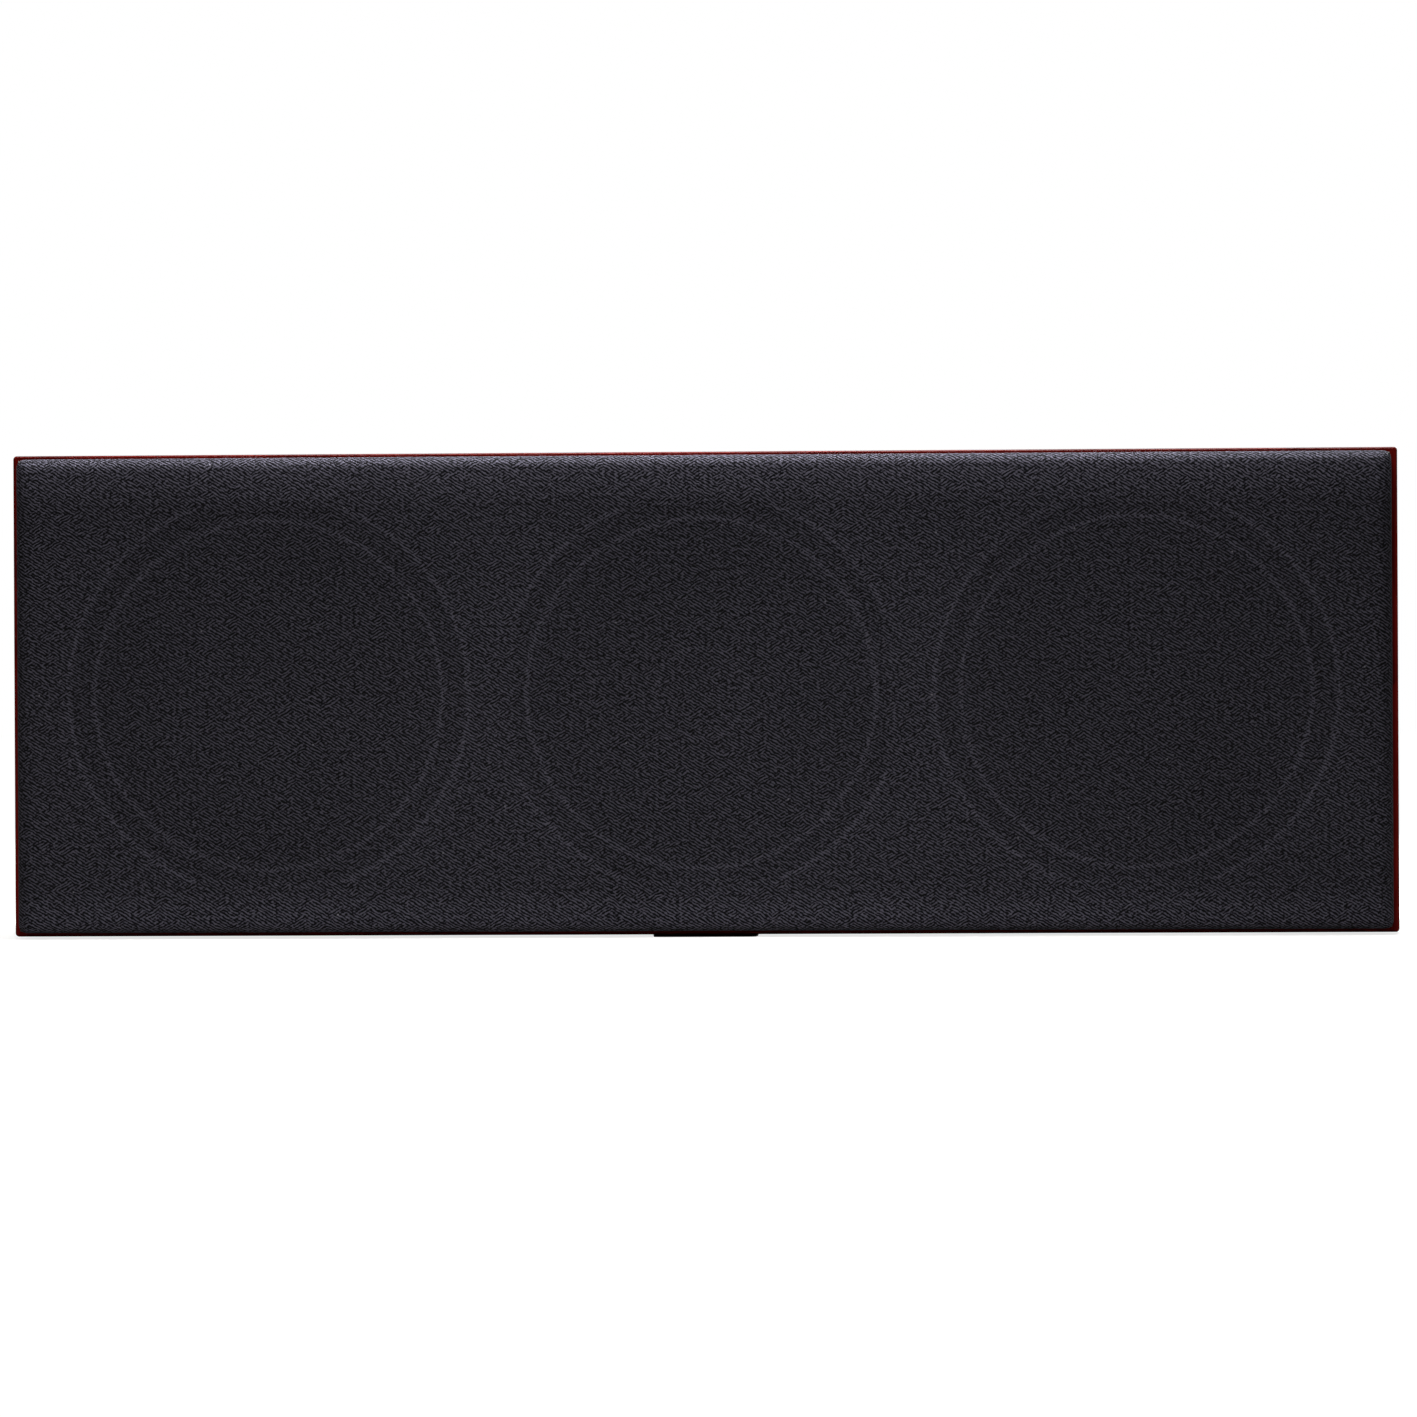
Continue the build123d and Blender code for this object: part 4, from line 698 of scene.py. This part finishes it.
def wood_screws():
    """All the screws in one piece, each with its recess turned a little differently."""
    one = screw_mesh()
    points = [v.co.copy() for v in one.verts]
    one.verts.index_update()
    shape = [[v.index for v in f.verts] for f in one.faces]
    one.free()
    seats = []
    for x in driver_xs:
        for k in range(SCREWS_PER_DRIVER):
            turn = 2 * math.pi * k / SCREWS_PER_DRIVER
            aside, rise = SCREW_CIRCLE * MM * math.cos(turn), SCREW_CIRCLE * MM * math.sin(turn)
            spot = Vector((x + aside, FRONT_Y, AXIS_Z + rise))
            seats.append((spot, Matrix.Rotation(math.pi / 2, 3, "X")))
    for side in (-1, 1):
        for level in (-1, 1):
            spot = Vector((side * PLATE_SCREW_X * MM, PLATE_FACE_Y, AXIS_Z + level * PLATE_SCREW_Z * MM))
            seats.append((spot, Matrix.Rotation(-math.pi / 2, 3, "X")))
    all_points, all_faces = [], []
    for k, (spot, lean) in enumerate(seats):
        first = len(all_points)
        twist = Matrix.Rotation(SCREW_TWIST * k, 3, "Z")
        all_points += [spot + lean @ twist @ p * MM for p in points]
        all_faces += [tuple(first + i for i in f) for f in shape]
    piece = mesh_piece("cross_head_screws", all_points, all_faces, SCREW_STEEL, smooth=False)
    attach(piece, "cabinet")
    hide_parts("wood_screws")


def plate_marks():
    """Raised plus and minus bars over the posts, printed pale, and a rounded rib round the pair."""
    bm = bmesh.new()
    bars = [(1, MARK_LENGTH, MARK_WIDTH), (1, MARK_WIDTH, MARK_LENGTH), (-1, MARK_LENGTH, MARK_WIDTH)]
    for side, wide, tall in bars:
        made = bmesh.ops.create_cube(bm, size=1.0)["verts"]
        bmesh.ops.scale(bm, verts=made, vec=(wide * MM, 2 * MARK_HEIGHT * MM, tall * MM))
        bmesh.ops.translate(bm, verts=made, vec=(side * POST_X * MM, PLATE_FACE_Y, AXIS_Z + MARK_RISE * MM))
    bmesh.ops.bevel(bm, geom=bm.edges[:], offset=MARK_BEVEL * MM, segments=2, affect="EDGES")
    mesh = bpy.data.meshes.new("terminal_polarity_marks")
    bm.to_mesh(mesh)
    bm.free()
    mesh.materials.append(PALE_INK)
    marks = bpy.data.objects.new("terminal_polarity_marks", mesh)
    bpy.context.scene.collection.objects.link(marks)

    corner_x, corner_z = RIB_HALF_WIDTH - RIB_CORNER, RIB_HALF_HEIGHT - RIB_CORNER
    outline = []
    for quarter, (sx, sz) in enumerate(((1, 1), (-1, 1), (-1, -1), (1, -1))):
        for i in range(RIB_STEPS + 1):
            turn = math.pi / 2 * (quarter + i / RIB_STEPS)
            outline.append((sx * corner_x + RIB_CORNER * math.cos(turn),
                            sz * corner_z + RIB_CORNER * math.sin(turn)))
    # Across the rib: a low half round, from the outside over to the inside
    turns = [math.pi * i / RIB_STEPS for i in range(RIB_STEPS + 1)]
    section = [(RIB_SIZE * math.cos(t), RIB_SIZE * RIB_RISE * math.sin(t)) for t in turns]
    points, faces = [], []
    for x, z in outline:
        out = Vector((x - math.copysign(corner_x, x), z - math.copysign(corner_z, z)))
        out.normalize()
        for shift, height in section:
            at_x, at_z = (x + out.x * shift) * MM, (z + out.y * shift) * MM
            points.append((at_x, PLATE_FACE_Y + (height - RIB_SINK) * MM, AXIS_Z + at_z))
    count = len(section)
    for i in range(len(outline)):
        a, b = i * count, (i + 1) % len(outline) * count
        faces += [(a + j, b + j, b + j + 1, a + j + 1) for j in range(count - 1)]
    rib = mesh_piece("terminal_plate_rib", points, faces, SATIN_ABS)
    for piece in (marks, rib):
        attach(piece, "cabinet")


def dress_nodes():
    """Gives every CAD node its finish."""
    finishes = {
        "cabinet_sleeve": VENEER, "front_baffle": BLACK_BOARD, "rear_panel": VINYL, "chamber_walls": RAW_BOARD,
        "damping_wadding": WADDING, "front_foot": FOOT_RUBBER, "rear_feet": FOOT_RUBBER,
        "grille_frame": BLACK_BOARD, "grille_cloth": KNIT, "grille_pegs": SATIN_ABS, "grille_sockets": ABS,
        "driver_gaskets": FOAM, "wood_screws": SCREW_STEEL, "tweeter_pod": SATIN_ABS, "tweeter_motor": STEEL,
        "tweeter_dome": SILK, "tweeter_waveguide": SATIN_ABS, "port_tube_left": ABS, "port_tube_right": ABS,
        "terminal_plate": ABS, "binding_post_studs": GILT, "binding_post_collars": GILT,
        "binding_post_cap_red": RED_CAP, "binding_post_cap_black": BLACK_CAP, "crossover_board": LAMINATE,
        "crossover_spacers": ABS, "crossover_inductors": COPPER, "crossover_capacitors": FILM,
        "crossover_resistors": CERAMIC, "internal_leads": JACKET,
    }
    of_driver = {
        "basket": CAST, "trim_ring": SATIN_ABS, "surround": RUBBER, "spider": SPIDER, "top_plate": STEEL,
        "magnet": FERRITE, "back_plate": STEEL, "cone": PAPER, "voice_coil": COPPER, "dust_cap": DUST_CAP,
    }
    for name in DRIVER_X:
        finishes.update({f"{name}_{piece}": finish for piece, finish in of_driver.items()})
    for name, piece in nodes.items():
        piece.data.materials.clear()
        piece.data.materials.append(finishes[name])


def studio():
    """Pale floor, white room, narrow softboxes overhead and in front, wide ones at the ends and behind."""
    scene = bpy.context.scene
    scene.view_settings.view_transform = "Standard"
    world = bpy.data.worlds.new("white_studio")
    world.use_nodes = True
    tree = world.node_tree
    tree.nodes.clear()
    seen = add(tree, "LightPath", out="Is Camera Ray")
    power = add(tree, "MapRange", {"Value": seen, "To Min": ROOM_LIGHT, "To Max": 1.0})
    room = add(tree, "Background", {"Color": colour("#ffffff"), "Strength": power})
    add(tree, "OutputWorld", {"Surface": room})
    scene.world = world
    spots = [(x * FLOOR_SIZE, y * FLOOR_SIZE, 0) for x, y in ((-1, -1), (1, -1), (1, 1), (-1, 1))]
    made, tree, place = start("paper_floor_pale")
    tooth = add(tree, "TexNoise", {"Vector": place, "Scale": per(3), "Detail": 2.0}, out="Fac")
    away = add(tree, "VectorMath", {0: place}, out="Value", operation="LENGTH")
    lift = add(tree, "MapRange", {"Value": away, "From Min": SHADOW_REACH[0], "From Max": SHADOW_REACH[1],
                                  "To Min": FLOOR_GLOW[0], "To Max": FLOOR_GLOW[1]},
               interpolation_type="SMOOTHSTEP")
    glow = add(tree, "Math", {0: add(tree, "LightPath", out="Is Camera Ray"), 1: lift}, operation="MULTIPLY")
    # Lacquer and plastic mirror a darker floor, as through the polarising filter of a product photograph
    paper = add(tree, "Mix", {0: tooth, 6: colour("#a3a19d"), 7: colour("#a9a7a3")}, out=2, data_type="RGBA")
    mirrored = add(tree, "LightPath", out="Is Glossy Ray")
    paper = add(tree, "Mix", {0: mirrored, 6: paper, 7: colour("#5c5a58")}, out=2, data_type="RGBA")
    close(tree, Base_Color=paper, Roughness=0.85, Emission_Color=colour("#ffffff"), Emission_Strength=glow)
    floor = mesh_piece("floor", spots, [(0, 1, 2, 3)], made, smooth=False)

    def soft_light(name, place, target, width, depth, power, mirrored=True, beam=180):
        """A softbox turned to its target: sizes in metres, power in watts, beam in degrees."""
        lamp = bpy.data.lights.new(name, "AREA")
        lamp.shape, lamp.size, lamp.size_y, lamp.energy = "RECTANGLE", width, depth, power
        lamp.spread = math.radians(beam)
        light = bpy.data.objects.new(name, lamp)
        light.location = place
        light.rotation_mode = "QUATERNION"
        light.rotation_quaternion = (Vector(target) - Vector(place)).to_track_quat("-Z", "Y")
        light.visible_camera = False
        light.visible_glossy = mirrored
        scene.collection.objects.link(light)

    soft_light("overhead_softbox", place=(0.11, 0.1, 1.5), target=(0.08, 0.05, 0.2),
               width=0.6, depth=1.15, power=13.2, beam=60)
    soft_light("front_softbox", place=(0.0, -2.2, 1.6), target=(0.0, -0.16, 0.13),
               width=0.5, depth=0.5, power=1.4, beam=40)
    for side, name in ((-1, "left_end_softbox"), (1, "right_end_softbox")):
        soft_light(name, place=(side * 2.3, 0.9, 0.7), target=(side * 0.3, 0.1, 0.1),
                   width=1.2, depth=0.9, power=16, mirrored=False)
    soft_light("rear_softbox", place=(0.0, 2.8, 0.8), target=(0, 0, 0.1), width=0.6, depth=0.9, power=22)


def photo_camera():
    """Straight at the front from a few degrees to the right, level, with the photograph's slight roll."""
    distance, turn, roll = 4.0, math.radians(3.6), math.radians(-0.29)
    view_width, sensor = 0.6435, 36.0
    aside, below = 3.4 * MM, 7.1 * MM
    aim = Vector((aside, CLOTH_LOW.y, AXIS_Z - below))
    lens = bpy.data.cameras.new("photo_camera")
    lens.sensor_width, lens.lens = sensor, sensor * distance / view_width
    camera = bpy.data.objects.new("photo_camera", lens)
    camera.location = aim + distance * Vector((math.sin(turn), -math.cos(turn), 0.0))
    camera.rotation_mode = "QUATERNION"
    look = (aim - camera.location).to_track_quat("-Z", "Y")
    camera.rotation_quaternion = look @ Quaternion((0, 0, 1), roll)
    bpy.context.scene.collection.objects.link(camera)
    bpy.context.scene.camera = camera


photo_camera()
studio()
dress_nodes()
grille_cloth()
soft_rings()
wood_screws()
plate_marks()
